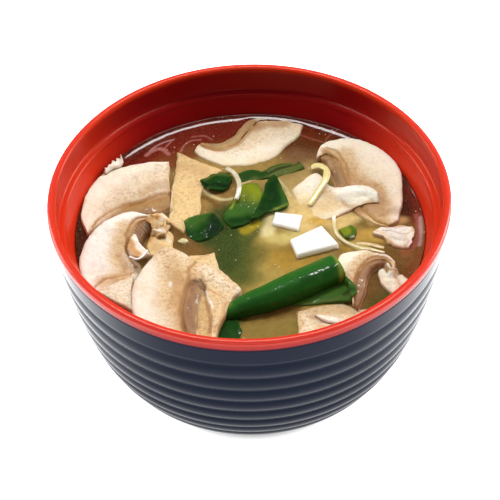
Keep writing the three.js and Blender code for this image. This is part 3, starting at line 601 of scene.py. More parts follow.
# Slices from the lowest to the uppermost. Each lies between rails, given as points in plan, and is
# `thick` millimetres thick; its plane passes through `top` on the axis and rises by `slope` for
# each millimetre along X and Y. `sink` lowers it by so much on the axis and for each millimetre
# along X and Y. `wave` is the height of its ripples and `ripples` their number, `fade` the share of
# its length over which its section grows, `gills` the stretch that has them and `stripes` their
# strength, `ragged` and `teeth` how its edge is torn, and `folds` how crumpled it is.
SLICES = {
    "onion_bit": dict(kind="onion", section=SLAB, top=54.9, thick=1.2, rails=(
        [(-22, -3), (-20.5, -2), (-19, -2.5)],
        [(-21.5, -3.6), (-20, -4.5), (-18.5, -3.6)])),
    "leaf_front": dict(kind="leaf", section=LEAF, top=54.7, thick=0.8, wave=0.12, rails=(
        [(-12.5, -42.5), (-10.5, -39), (-8, -36), (-4.5, -35)],
        [(-10.5, -46), (-8, -46), (-5, -45.5), (-3, -40.5)])),
    "leaf_far": dict(kind="leaf", section=LEAF, top=54.6, thick=0.8, wave=0.3, rails=(
        [(-3, 26), (0.5, 27.5), (4.5, 27.5), (8.5, 29), (13, 30.5), (16, 31)],
        [(-2.5, 22), (1, 22.5), (5, 23), (9, 24), (13.5, 25.5), (17.5, 27.5)])),
    "slice_front_right": dict(kind="mushroom", section=SLAB, top=53.9, slope=(0, -0.02), thick=2.6,
        rails=(
        [(13, -33.5), (18.5, -31.5), (25.5, -30.5), (31, -33), (36.5, -32.5), (42, -29.5)],
        [(13, -45.5), (18.5, -46), (24.5, -43.5), (31, -39.5), (36.5, -35), (41.7, -30.3)])),
    "mushroom_chip": dict(kind="mushroom", section=SLAB, top=54.9, slope=(0, 0.03), thick=2.4,
        rails=(
        [(-18.5, -9), (-14, -9), (-11, -8)],
        [(-18, -14), (-13, -16), (-9, -17)])),
    "mushroom_back_left": dict(kind="mushroom", section=CAP, stripes=0.1, top=55.2,
        slope=(-0.02, 0.02), thick=3.4, rails=(
        [(-24.5, 31), (-32, 30.5), (-38, 29), (-44, 26.5), (-48, 21.5), (-50.5, 14), (-51, 7.5),
         (-49, 0.5)],
        [(-24, 16), (-29, 14.5), (-33.5, 12.5), (-37.5, 10.5), (-41.5, 7), (-44.5, 4), (-47.3, 1.6),
         (-48.6, -0.2)],
        [(-23.5, 9.5), (-29, 8), (-33.5, 7.5), (-37.5, 6), (-41.5, 4), (-44.5, 2), (-47, 0.3),
         (-48.2, -0.8)])),
    "stem_slab": dict(kind="mushroom", section=SLAB, top=54.9, thick=3, rails=(
        [(-22, 36), (-22.5, 28), (-23.5, 19), (-24, 11), (-24.5, 4.5)],
        [(-7.5, 27), (-12, 23), (-14.5, 16.5), (-15, 9), (-20, 0.5)])),
    "mushroom_back": dict(kind="mushroom", section=CAP, gills=(0, 0.7), stripes=0.35, top=55.4,
        sink=(0.7, 0, 0), thick=3.2, rails=(
        [(-16.5, 35.5), (-13, 31.5), (-6, 28.5), (2, 29), (9, 32.5), (12.5, 37), (16, 40.5),
         (18, 46)],
        [(-15, 39), (-12.5, 37), (-8.5, 36), (-3.5, 38.5), (0.5, 44.5), (4, 49), (11, 48.6),
         (17.5, 46.7)],
        [(-14, 40), (-11.5, 39.5), (-8.5, 40), (-5, 42.5), (-2.5, 46.5), (1, 50), (9.5, 49.8),
         (17.2, 47.4)])),
    "mushroom_right_back": dict(kind="mushroom", section=CAP, stripes=0.2, top=56,
        sink=(2.1, 0, -0.038), slope=(0.03, 0.02), thick=4.2, rails=(
        [(21, 29), (23, 34.5), (28.5, 37.3), (35.5, 36.6), (42.7, 30.5), (46.8, 21.8), (46.8, 11),
         (45, 0)],
        [(22.3, 29.5), (25, 30), (28, 27), (29.5, 22.5), (30.5, 17), (33.5, 8.5), (37.5, 1.5),
         (42, -2)],
        [(22.6, 28), (24, 26.5), (25, 23), (26, 19), (27.5, 13.5), (31, 6), (36, 0.5),
         (41.5, -2.8)])),
    "mushroom_left": dict(kind="mushroom", section=CAP, gills=(0.02, 0.62), stripes=0.7, top=56.4,
        sink=(0, 0, -0.09), slope=(-0.03, 0), thick=4.2, rails=(
        [(-29.5, 6), (-35.5, 7.5), (-41.5, 5.5), (-46.5, 0.5), (-50, -7), (-51, -15.5), (-49, -23),
         (-44.5, -28)],
        [(-29.5, 4.5), (-32.5, 3.5), (-35, 0.5), (-36.5, -4), (-37, -8.5), (-36, -15), (-37, -22.5),
         (-43.2, -28.3)],
        [(-28, 3), (-30, 0), (-32, -3), (-33.5, -6.5), (-33.5, -11), (-32.5, -17), (-35.5, -24),
         (-42.3, -29)])),
    "mushroom_wedge": dict(kind="mushroom", section=SLAB, top=55.8, slope=(0, -0.02), thick=2.6,
        rails=(
        [(-45.5, -24), (-42.5, -22.5), (-38.5, -20), (-35, -18.5)],
        [(-45, -24.7), (-41.5, -28), (-38, -30.5), (-35, -32.5)])),
    "mushroom_stem_right": dict(kind="mushroom", section=SLAB, top=55.5, sink=(3.9, -0.07, -0.05),
        slope=(0.04, 0.035), thick=3.4, rails=(
        [(13, 15.5), (17.5, 20.5), (21.5, 22.5), (24.5, 17.5), (28, 15.5), (32.5, 16), (37, 14.5),
         (39.5, 12)],
        [(14.5, 10), (17.5, 5), (21.5, 2), (25, 2.5), (28.5, 4.5), (32.5, 7), (36, 8), (39.5, 9)])),
    "mushroom_torn": dict(kind="mushroom", section=SLAB, ragged=0.28, folds=0.1, top=54.8,
        sink=(-0.8, 0, -0.06), thick=2.2, rails=(
        [(36.5, -1.8), (39.5, 0.4), (43, 0.2), (46.5, 0.6), (49, 0), (49.5, -2)],
        [(37.2, -2.8), (39.8, -4), (41, -6.5), (44, -8.2), (47.3, -8.7), (48.3, -5)])),
    "mushroom_front_right": dict(kind="mushroom", section=CAP, top=55.6, slope=(0.03, 0), thick=3.8,
        rails=(
        [(29, -32.5), (28.7, -26.5), (26, -19), (26.5, -12), (33, -11), (39, -12.5), (42.5, -16.5),
         (42.6, -21)],
        [(29.5, -33), (29.7, -27), (30.5, -22.5), (33, -18), (36.5, -15.5), (40, -16),
         (41.5, -18.5), (41.8, -21.2)],
        [(30.7, -34.5), (33, -28.5), (34, -23.5), (35, -20.5), (37, -18), (39.5, -17.5),
         (40.7, -19), (41, -21.2)])),
    "green_onion_flap": dict(kind="flap", section=LEAF, top=56, sink=(3, -0.1, 0), thick=1,
        wave=0.2, ripples=1, rails=(
        [(11, -31.6), (17, -27.5), (21.5, -24.8), (26, -22), (28.8, -24), (30.8, -26.8)],
        [(11.6, -32.9), (17, -32.5), (21, -31.5), (25.5, -31), (28.5, -31), (30.5, -29)])),
    "mushroom_stem_left": dict(kind="mushroom", section=SLAB, top=56.4, slope=(0.02, 0.02), thick=3,
        rails=(
        [(-29.5, 0.5), (-30.5, -2.5), (-31, -6), (-30, -10)],
        [(-24.5, 0.5), (-23, -1.5), (-23.5, -4.5), (-23, -8)])),
    "mushroom_front_left": dict(kind="mushroom", section=WHOLE, stripes=0.25, top=56.6,
        slope=(0.01, -0.03), thick=4.2, fade=0.33, rails=(
        [(-19, -11), (-24.5, -7), (-28.5, -9.5), (-32.5, -16), (-35, -23.5), (-35, -31),
         (-33.5, -38.5), (-28.5, -45)],
        [(-17.5, -13), (-18, -17), (-18.5, -22), (-19, -26.5), (-20, -31.5), (-20.5, -36.5),
         (-20, -41.5), (-18.5, -47.5)],
        [(-15.7, -14), (-15.2, -18.5), (-14.7, -23), (-14.7, -27.5), (-15.7, -32.5), (-16.5, -37.5),
         (-16, -42.5), (-15.5, -48)],
        [(-14.9, -14), (-14.4, -18.5), (-13.8, -23.5), (-13.3, -29), (-12.5, -34), (-12, -38.5),
         (-12, -43), (-12, -48)],
        [(-13, -14.5), (-9.5, -17.5), (-6, -21.5), (-3, -26), (-5.5, -30), (-7.5, -35),
         (-9.5, -40.5), (-11.2, -48)])),
    "tofu_back": dict(kind="tofu", section=SLAB, top=56, sink=(0.7, 0, 0), thick=7, rails=(
        [(7.8, 7), (16, 5.3)],
        [(6.7, 2), (14.6, -1)])),
    "leaf_bright": dict(kind="leaf", section=LEAF, top=55.3, sink=(0.75, 0, -0.04), thick=0.8,
        wave=0.35, ripples=1.5, rails=(
        [(-5.5, 1), (-8, 5.5), (-6.5, 10.5), (-5, 14), (-3.5, 18), (-1.5, 20.5)],
        [(-2, 2), (1, 4.5), (4, 7.5), (5, 11.5), (4.5, 16), (3, 21)])),
    "leaf_left": dict(kind="leaf", section=LEAF, top=55.6, sink=(0.6, 0, -0.07), slope=(0, 0.02),
        thick=0.8, wave=0.35, rails=(
        [(-20, 4.5), (-17.5, 6.5), (-14.5, 8), (-11.5, 7.5), (-9.5, 6), (-8, 3)],
        [(-19.5, 1), (-18.5, -2.5), (-15, -4), (-11.5, -2.5), (-9.5, -0.5), (-8, 1.5)])),
    "leaf_back": dict(kind="leaf", section=LEAF, top=55.9, thick=0.8, wave=0.35, rails=(
        [(-15, 22), (-13, 23), (-11, 25), (-8.5, 25), (-6, 25.5), (-5, 23.5)],
        [(-14.5, 20.5), (-13.5, 19.5), (-12, 18), (-9, 17.5), (-6.5, 18.5), (-5, 21)])),
    "leaf_small": dict(kind="leaf", section=LEAF, top=55.4, thick=0.8, wave=0.2, rails=(
        [(26.5, -1), (28.5, 0.5), (30.5, 1), (32, 0.5)],
        [(28, -3), (29, -4.5), (31, -4), (32, -2)])),
    "mushroom_sliver": dict(kind="mushroom", section=SLAB, top=55.6, thick=1, rails=(
        [(18, -35.5), (21, -36), (24, -37), (27.5, -38.5)],
        [(19, -37), (21, -38.5), (23.5, -39.5), (26.5, -40)])),
    "tofu_front": dict(kind="tofu", section=SLAB, top=57.3, sink=(1.1, 0, 0), thick=7, rails=(
        [(12, -6.3), (21.5, -0.8)],
        [(13.8, -12.9), (26.3, -9)])),
    "leaf_dark": dict(kind="leaf", section=LEAF, top=56.4, sink=(0.4, 0, 0), thick=0.8, wave=0.35,
        ripples=1.2, rails=(
        [(0, 3.5), (2.5, 9), (4, 14), (5, 19.5), (6.5, 22), (7.5, 23)],
        [(2, 4), (6, 7), (10, 8), (12, 10), (10.5, 16), (9, 21.5)])),
    "mushroom_curl": dict(kind="mushroom", section=SLAB, ragged=0.18, folds=0.12, top=55.4,
        thick=2.4, wave=0.2, ripples=1.3, rails=(
        [(40, -17.5), (37.5, -18.8), (37.5, -21.5), (39, -25.5), (41, -28.5)],
        [(40.5, -17.7), (41.5, -19.8), (44, -20.5), (46, -23), (44.5, -27)])),
    "mushroom_scrap": dict(kind="mushroom", section=SLAB, teeth=5, top=57.8, thick=1.6, wave=0.2,
        rails=(
        [(-44.5, 25.5), (-44, 27.5), (-42.5, 30), (-41, 31.5), (-39.5, 33.5)],
        [(-43.5, 25), (-42.5, 26), (-41.5, 27), (-39.5, 28), (-38.5, 30)])),
    "mushroom_crumple": dict(kind="mushroom", section=LUMP, ragged=0.6, folds=0.7, top=57.4,
        thick=2.2, wave=0.5, rails=(
        [(-30, 5), (-27.5, 7), (-25.5, 6.5), (-24, 3.5), (-24.5, 0), (-25.5, -1.5)],
        [(-30.5, 3.5), (-29.5, 1.5), (-28.5, 0), (-29.5, -1.5), (-28.5, -2.5), (-27, -3.5)])),
    "stem_chip": dict(kind="mushroom", section=SLAB, top=57, slope=(0, -0.03), thick=1.6, rails=(
        [(-34.6, -2.3), (-36, -5.5), (-36.5, -8.5), (-35, -11.3), (-32.5, -11.6)],
        [(-34, -2.5), (-33, -5.5), (-31.8, -7.5), (-30.8, -9), (-30, -10.5)])),
}

# Marks on the pieces, one over another: tone, cover, half width, lift and path. Each path is drawn
# in the camera's view and lies on the piece at the height given beside its name.
MARKS = {
    "mushroom_back_left": (55.2, [
        ("flesh", 0.4, 5, 0, [(170, 178), (150, 184), (130, 197), (112, 212)]),
        ("stain", 0.5, 2.6, 0, [(172, 188), (158, 190), (146, 196)]),
        ("soaked", 1, 2.2, 0, [(172, 205), (150, 206), (128, 210)]),
        ("stain", 0.9, 0.45, -0.3, [(171, 196), (158, 197), (150, 200), (140, 204), (126, 208),
         (112, 213), (100, 220), (92, 229)]),
        ("pale", 0.6, 0.4, 0.12, [(162, 193), (150, 196), (144, 200), (132, 204)]),
        ("stain", 0.6, 1.2, -0.1, [(171, 212), (163, 210), (156, 209)]),
        ("stain", 0.5, 0.9, 0, [(170, 163), (172, 180), (172, 194)]),
        ("stain", 0.3, 0.6, 0, [(157, 168), (162, 170)]),
    ]),
    "mushroom_left": (56.4, [
        ("flesh", 0.8, 2.8, 0, [(124, 230), (119, 248), (117, 262), (122, 274), (110, 284),
         (102, 287)]),
        ("stain", 0.5, 1.4, 0, [(119, 258), (125, 268), (124, 276), (114, 283)]),
        ("gill", 0.8, 2.2, 0, [(152, 228), (141, 230), (137, 240), (138, 256)]),
        ("shade", 0.2, 1.8, 0, [(152, 230), (142, 232), (138, 241), (139, 256)]),
        ("stain", 1, 0.6, -0.3, [(152, 218), (140, 220), (131, 226), (127, 236), (127, 248),
         (130, 258), (134, 268)]),
        ("flesh", 0.8, 0.55, 0.1, [(148, 222), (139, 224), (133, 231), (131, 244)]),
        ("shade", 0.9, 1.2, -0.2, [(153, 225), (147, 231), (146, 240), (150, 247)]),
        ("stain", 0.8, 0.45, -0.15, [(95, 291), (104, 284), (112, 282), (120, 279), (127, 277),
         (133, 274)]),
        ("shade", 0.8, 1.3, -0.6, [(138, 256), (138, 264), (136, 272)]),
    ]),
    "mushroom_front_left": (56.6, [
        ("shade", 0.1, 7, 0, [(150, 262), (152, 285), (160, 310)]),
        ("flesh", 0.7, 5, 0, [(168, 254), (172, 268), (174, 284), (172, 304)]),
        ("soaked", 0.3, 2.5, 0, [(172, 262), (176, 282)]),
        ("stain", 0.4, 1.8, 0, [(177, 276), (178, 288), (174, 306)]),
        # Painted highlight: a small pale spot on the cap.
        ("pale", 0.8, 0.5, 0.15, [(171, 285), (171, 288)]),
        ("stain", 0.9, 0.6, -0.25, [(206, 258), (196, 263), (189, 270), (188, 280), (184, 292),
         (181, 305), (180, 318), (183, 334)]),
        ("shade", 0.7, 0.4, -0.1, [(190, 282), (186, 293), (184, 305), (183, 318), (186, 332)]),
        ("gill", 0.9, 1.2, 0.15, [(194, 286), (191, 298), (190, 312), (194, 328)]),
        ("shade", 0.3, 1.2, 0, [(194, 284), (191, 298), (190, 312), (194, 328)]),
        ("shade", 0.6, 0.9, -0.1, [(191, 286), (196, 284), (200, 288)]),
        ("shade", 0.9, 0.5, -0.2, [(200, 280), (204, 286), (205, 295)]),
        ("stain", 0.9, 0.45, -0.15, [(205, 294), (207, 306), (211, 318), (209, 332)]),
        ("pale", 0.5, 1.7, 0.15, [(204, 269), (214, 278), (226, 287), (238, 292)]),
        ("flesh", 0.5, 2.2, 0, [(210, 297), (214, 306), (216, 316)]),
        ("amber", 0.5, 0.45, -0.15, [(206, 287), (213, 294), (222, 299)]),
        ("white", 0.8, 0.35, 0.1, [(206, 291), (209, 301), (213, 311)]),
        ("stain", 0.5, 0.8, 0, [(226, 306), (223, 320), (214, 334)]),
        ("shade", 0.8, 0.35, 0, [(187, 284), (183.5, 296), (181.5, 308), (182, 318), (185, 330)]),
        ("shade", 0.6, 0.3, 0, [(203, 288), (199.5, 300), (197.5, 312), (197, 324)]),
        ("shade", 0.7, 1.2, 0, [(189, 286), (195, 283.5), (201, 286)]),
    ]),
    "mushroom_chip": (54.9, [
        ("butter", 0.8, 4, 0, [(190, 262), (214, 256)]),
        ("stain", 0.6, 0.5, 0, [(186, 257), (196, 259), (208, 254)]),
    ]),
    "mushroom_back": (55.4, [
        ("flesh", 0.4, 3.4, 0, [(262, 138), (280, 132), (294, 126)]),
        ("stain", 0.8, 2.2, 0, [(257, 127), (268, 125), (284, 124)]),
        ("shade", 0.3, 1.6, 0, [(240, 131), (248, 123), (254, 117)]),
        ("stain", 0.9, 1.3, 0.1, [(203, 144), (214, 148), (226, 146), (236, 139), (245, 130),
         (252, 122)]),
        ("soaked", 0.8, 0.8, 0, [(212, 147), (226, 146), (236, 139), (245, 130), (252, 122)]),
        ("shade", 0.6, 0.35, -0.3, [(202, 146), (209, 150), (222, 151), (234, 147), (244, 139),
         (251, 131), (256, 122)]),
        ("shade", 0.7, 0.4, -0.1, [(203, 142), (213, 145), (224, 143), (233, 137), (240, 130)]),
    ]),
    "mushroom_right_back": (56, [
        ("butter", 0.2, 6, 0, [(350, 160), (370, 175), (388, 196)]),
        ("flesh", 0.8, 2.8, 0, [(346, 158), (352, 172), (362, 184), (376, 192), (384, 204),
         (380, 222)]),
        ("stain", 0.5, 2, 0, [(352, 180), (362, 187), (376, 195), (382, 206), (378, 218),
         (394, 214)]),
        ("soaked", 0.9, 1.7, 0, [(326, 156), (335, 165), (342, 178), (345, 190)]),
        ("flesh", 0.8, 0.5, 0.15, [(322, 152), (329, 155), (337, 161), (342, 169)]),
        ("stain", 0.8, 0.5, -0.3, [(328, 152), (337, 156), (345, 166), (349, 177), (350, 187)]),
        ("shade", 0.3, 0.7, -0.15, [(330, 160), (335, 167), (337, 175), (340, 186)]),
        ("butter", 0.9, 2.6, 0, [(352, 220), (366, 220), (380, 226), (388, 232)]),
        # Painted shadow under the lobe of the stem piece that lies over this slice.
        ("stain", 0.8, 1.6, 0, [(352, 212), (362, 211), (374, 208)]),
    ]),
    "mushroom_stem_right": (55.7, [
        ("butter", 0.7, 4, 0, [(302, 206), (312, 210), (326, 208)]),
        ("flesh", 0.4, 2, 0, [(325, 196), (332, 202)]),
        ("pale", 0.5, 2.5, 0, [(298, 196), (308, 184), (317, 176)]),
        ("flesh", 0.5, 2.2, -0.1, [(322, 194), (332, 200), (342, 207), (326, 210)]),
        ("white", 0.9, 2.3, 0.75, [(342, 197), (356, 194), (368, 193), (376, 197)]),
        ("white", 0.8, 0.5, 0.1, [(376, 189), (379, 194), (377, 199)]),
        # Painted shadow below the log.
        ("stain", 0.6, 1, -0.2, [(344, 206), (352, 209), (362, 209), (372, 205)]),
    ]),
    "mushroom_torn": (54.8, [
        ("amber", 0.6, 0.5, 0, [(388, 227), (400, 226), (410, 225), (413, 231)]),
        ("butter", 0.6, 0.8, 0, [(376, 231), (384, 235), (390, 243)]),
        ("stain", 0.5, 0.3, -0.05, [(382, 231), (392, 231), (400, 234), (408, 233)]),
        ("stain", 0.4, 0.3, -0.05, [(390, 237), (399, 240), (407, 239)]),
        ("amber", 0.6, 0.35, 0, [(386, 239), (396, 245), (405, 246), (409, 241)]),
    ]),
    "mushroom_front_right": (55.8, [
        ("flesh", 0.6, 2, 0, [(350, 288), (352, 275), (358, 264), (370, 257)]),
        ("stain", 0.9, 0.5, -0.3, [(352, 296), (356, 280), (361, 268), (370, 261), (382, 260),
         (391, 264)]),
        ("shade", 0.5, 0.5, -0.1, [(367, 278), (373, 268), (382, 263)]),
        ("flesh", 0.8, 0.5, 0, [(386, 261), (393, 267), (397, 273)]),
    ]),
    "mushroom_curl": (55.8, [
        ("pale", 0.8, 1, 0.25, [(384, 272), (391, 280), (398, 285)]),
        ("pale", 0.8, 0.8, 0.3, [(401, 277), (406, 281)]),
        ("stain", 0.9, 0.45, -0.15, [(383, 266), (390, 272), (396, 274), (401, 272)]),
        ("amber", 0.5, 0.4, -0.2, [(394, 276), (398, 279), (400, 284)]),
    ]),
    "slice_front_right": (54, [
        ("stain", 0.6, 3, 0, [(315, 312), (335, 309), (350, 311)]),
        ("amber", 0.6, 1, -0.1, [(318, 327), (330, 331), (344, 329)]),
        ("butter", 0.7, 0.8, 0.05, [(299, 315), (300, 330)]),
    ]),
    "stem_slab": (54.9, [
        ("butter", 0.8, 3.5, 0, [(180, 192), (186, 210), (190, 226)]),
        ("stain", 0.4, 2, 0, [(180, 166), (192, 168), (204, 172)]),
        ("pale", 0.6, 0.45, 0.1, [(176, 155), (174, 178), (171, 200), (169, 222)]),
    ]),
    "mushroom_wedge": (55, [
        ("pale", 0.4, 1.6, 0, [(126, 288), (128, 298)]),
        ("stain", 0.9, 0.6, 0, [(97, 291), (106, 287.5), (114, 284.5), (124, 280)]),
        ("amber", 0.5, 0.5, 0, [(118, 283), (134, 277)]),
    ]),
    "mushroom_stem_left": (56.4, [
        ("amber", 0.8, 1, -0.1, [(148, 240), (151, 234), (156, 229)]),
        ("stain", 0.4, 2, 0, [(156, 246), (166, 250)]),
        ("pale", 0.5, 0.8, 0, [(164, 234), (170, 240)]),
    ]),
    "mushroom_crumple": (57.4, [
        ("amber", 0.8, 0.5, -0.5, [(153, 222), (157, 216), (163, 214)]),
        ("white", 0.9, 0.7, 0.4, [(158, 220), (166, 219)]),
        ("stain", 0.9, 0.45, -0.5, [(155, 227), (161, 225), (168, 226)]),
        ("white", 0.9, 0.6, 0.4, [(152, 230), (160, 231), (168, 233)]),
        ("white", 0.8, 0.6, 0.3, [(161, 213), (165, 215)]),
    ]),
    "stem_chip": (57, [
        ("amber", 0.9, 1.3, 0, [(131, 243), (132, 250), (136, 255)]),
        ("white", 0.9, 0.55, 0.12, [(135.5, 236), (140, 245), (144, 250), (148, 254)]),
    ]),
    "leaf_bright": (55.3, [
        ("mid", 0.9, 3.2, 0, [(232, 212), (245, 206), (256, 208)]),
        ("lime", 1, 4.2, 0.1, [(240, 192), (250, 190), (256, 194)]),
        ("bright", 0.8, 0.5, 0.1, [(230, 208), (236, 198), (243, 186)]),
        ("deep", 0.5, 1.6, 0, [(232, 222), (244, 220), (254, 218)]),
    ]),
    "leaf_dark": (56.4, [
        ("deep", 0.6, 2.5, 0, [(272, 186), (270, 198), (262, 208)]),
        ("mid", 0.6, 1.2, 0.1, [(282, 186), (285, 196), (286, 203)]),
        ("bright", 0.6, 0.5, 0.1, [(288, 204), (276, 208), (266, 214), (258, 220)]),
    ]),
    "leaf_left": (55.6, [
        ("mid", 0.8, 3, 0, [(190, 222), (196, 218), (204, 216)]),
        ("bright", 0.5, 0.45, 0.1, [(184, 224), (190, 217), (199, 213), (210, 214)]),
        ("deep", 0.9, 2.6, 0, [(216, 218), (215, 228), (212, 236)]),
    ]),
    "leaf_back": (55.9, [
        ("olive", 0.8, 0.8, 0.1, [(202, 180), (212, 176), (222, 174), (230, 175)]),
        # Painted shade in the leaf's cleft.
        ("deep", 0.9, 0.6, -0.4, [(204, 183), (214, 185), (226, 185), (232, 184)]),
        # Painted highlight.
        ("white", 0.8, 0.4, 0.1, [(203, 187), (207, 188)]),
    ]),
    "leaf_far": (54.6, [
        ("green", 0.9, 2.4, 0, [(244, 176), (254, 172), (262, 174)]),
        ("green", 0.6, 0.6, 0, [(270, 168), (284, 163), (298, 158)]),
        ("deep", 0.7, 0.5, -0.2, [(268, 174), (282, 168), (300, 162)]),
    ]),
    "leaf_small": (55.4, [
        ("mid", 0.8, 1, 0, [(352, 226), (353, 235), (346, 238)]),
        # Painted highlight: the white glint of a droplet.
        ("white", 0.8, 0.35, 0.1, [(350, 238), (354, 236)]),
    ]),
    "leaf_front": (54.4, [
        ("olive", 0.5, 1, 0, [(228, 306), (222, 318), (214, 332)]),
    ]),
    "green_onion_flap": (55.4, [
        ("mid", 0.9, 2.4, 0, [(306, 301), (325, 295), (345, 291)]),
        ("olive", 0.7, 0.6, 0.1, [(300, 308), (316, 304), (334, 300), (350, 296)]),
        ("deep", 0.6, 0.8, -0.1, [(345, 296), (352, 292)]),
    ]),
    "green_onion_tube": (59, [
        # Painted highlight: a lighter green streak along the top of the tube.
        ("mid", 0.6, 1.6, 0, [(228, 297), (260, 286), (290, 275), (320, 263)]),
        ("lime", 0.6, 1.2, 0, [(222, 299), (228, 301)]),
        ("bright", 0.9, 0.9, 0, [(331, 253), (337, 262), (341, 272), (344, 280)]),
        ("deep", 0.5, 1.4, 0, [(304, 284), (320, 278), (336, 271)]),
        ("green", 0.5, 1.2, 0, [(240, 305), (270, 297), (300, 288)]),
    ]),
}

# Wet places, where green pieces shine: half width, height and path in the view.
WET = [
    (1, 60.8, [(311, 272.5), (318, 270), (325, 266.5)]),
    (0.35, 60.6, [(300, 277.5), (302, 276.8)]),
    (0.35, 60.2, [(290, 281), (294, 279.6)]),
    (0.3, 60, [(277, 286.5), (279, 286)]),
    (0.3, 59.8, [(262, 292), (266, 290.6)]),
    (0.35, 59, [(244, 297), (250, 295.4)]),
    (0.35, 58.4, [(230, 300), (236, 298)]),
    (0.5, 58, [(333, 262), (335, 267)]),
    (0.5, 56.4, [(274, 178), (272, 182)]),
    (0.6, 56.6, [(341, 284), (347, 286)]),
    (0.4, 55.8, [(203, 187), (207, 188)]),
    (0.3, 57, [(272, 306), (274, 305.5)]),
    (0.3, 57.4, [(288, 300), (290, 299.5)]),
    (0.3, 57.5, [(312, 291), (314, 290.5)]),
]

# Rounding of a slice's long edges and of its ends, in millimetres, by kind.
ROUNDING = {"mushroom": (0.7, 0.5), "leaf": (0.35, 0.3), "flap": (0.4, 0.3), "onion": (0.5, 0.5),
            "tofu": (0.45, 0.45)}


def marks_of(name):
    """The marks of a piece, with their paths in plan."""
    height, marks = MARKS.get(name, (SOUP_LEVEL, ()))
    return [(*mark[:-1], in_plan(mark[-1], height)) for mark in marks]


class HeightMap:
    """The highest surface so far over a square grid of cells, which reaches `half` millimetres
    each way from the axis."""

    def __init__(self, half=60.0, cell=0.5):
        self.half = half
        self.cell = cell
        count = int(2 * half / cell)
        self.height = np.zeros((count, count))

    def place(self, x, y):
        """Where points lie in the grid, counted in cells."""
        limit = len(self.height) - 1.001
        return (np.clip((v + self.half) / self.cell - 0.5, 0, limit) for v in (x, y))

    def raise_to(self, x, y, z):
        """Raises the cells at the points, and their neighbours, to heights z."""
        i, j = (np.rint(v).astype(int) for v in self.place(x, y))
        for di, dj in ((0, 0), (0, 1), (1, 0), (0, -1), (-1, 0)):
            near = np.clip(i + di, 0, len(self.height) - 1), np.clip(j + dj, 0, len(self.height) - 1)
            np.maximum.at(self.height, near, z)

    def at(self, x, y):
        """Heights between the cells' middles, by bilinear interpolation."""
        u, v = self.place(x, y)
        i, j = u.astype(int), v.astype(int)
        s, t = u - i, v - j
        h = self.height
        low = h[i, j] * (1 - t) + h[i, j + 1] * t
        high = h[i + 1, j] * (1 - t) + h[i + 1, j + 1] * t
        return low * (1 - s) + high * s

    def nearness(self, x, y, passes=5):
        """1 over what stands out of the broth, falling smoothly to 0 a few cells outside it."""
        dry = HeightMap(self.half, self.cell)
        dry.height = (self.height > SOUP_LEVEL + 0.1).astype(float)
        for axis in (0, 1) * passes:
            around = np.roll(dry.height, 1, axis) + np.roll(dry.height, -1, axis)
            dry.height = (around + 2 * dry.height) / 4
        return dry.at(x, y)


# How far back a piece slides for each millimetre that it is sunk.
SLANT = 1.045
# How deep teeth cut into a slice, as a share of its width; the distance between lamellas and how
# much they stand out; the rounding of a ragged edge; and the least that a slice stands above what
# it lies on.
TOOTH_DEPTH = 0.45
LAMELLA = 1.15
LAMELLA_RELIEF = 0.14
RAGGED_ROUNDING = 0.35
LEAST_COVER = 0.45


def fillet(distance, radius):
    """How far a rounded edge has fallen at a distance from the edge."""
    inward = np.clip(radius - distance, 0, radius)
    return radius - np.sqrt(radius**2 - inward**2)


def slice_plan(data, seed):
    """A slice's grid: the share u along the rails for each row, the place across them for each
    column (0 at the first rail), and the points in plan. The outline is shaken by noise and, where
    the slice has teeth or ragged edges, notched along its first rail or torn all round."""
    rails = data["rails"]
    spans = len(rails) - 1
    single = spans == 1
    size = np.ptp(np.concatenate([np.array(rail) for rail in rails]), 0).max()
    rows = int(np.clip(size / (0.4 if single else 0.24), 24, 220))
    columns = int(np.clip(size / 0.5, 20, 70)) if single else 34 * spans + 1
    u = eased(rows, 0.55)
    curves = np.stack([spline(rail, u) for rail in rails], 1)
    across = eased(columns, 0.4 if single else 0.25) * spans
    first = np.minimum(across.astype(int), spans - 1)
    share = (across - first)[None, :, None]
    plan = curves[:, first] * (1 - share) + curves[:, first + 1] * share
    place = flat(plan[..., 0], plan[..., 1])

    def shaken(size, depth, first_seed):
        noises = [cloud(place, size, first_seed), cloud(place, size, first_seed + 2)]
        return depth * np.stack(noises, -1)

    if data["kind"] != "tofu":
        plan = plan + shaken(4.0, 0.22, seed + 3)
    teeth = data.get("teeth", 0)
    if teeth:
        bite = 1 - np.abs(2 * ((teeth * u[:, None]) % 1) - 1)
        notch = TOOTH_DEPTH * bite * (1 - across / spans)
        plan = plan + (curves[:, -1:] - curves[:, :1]) * notch[..., None]
    ragged = data.get("ragged", 0)
    if ragged:
        plan = plan + shaken(1.6, 1.4 * ragged, seed + 7)
    return u, across, plan


def edge_distances(plan):
    """Distances within a grid from its first and last columns and from its first and last rows."""
    steps_across = np.linalg.norm(np.diff(plan, axis=1), axis=-1)
    steps_along = np.linalg.norm(np.diff(plan, axis=0), axis=-1)
    from_first = np.concatenate([np.zeros((len(plan), 1)), np.cumsum(steps_across, 1)], 1)
    from_start = np.concatenate([np.zeros((1, plan.shape[1])), np.cumsum(steps_along, 0)], 0)
    return from_first, from_first[:, -1:] - from_first, from_start, from_start[-1:] - from_start


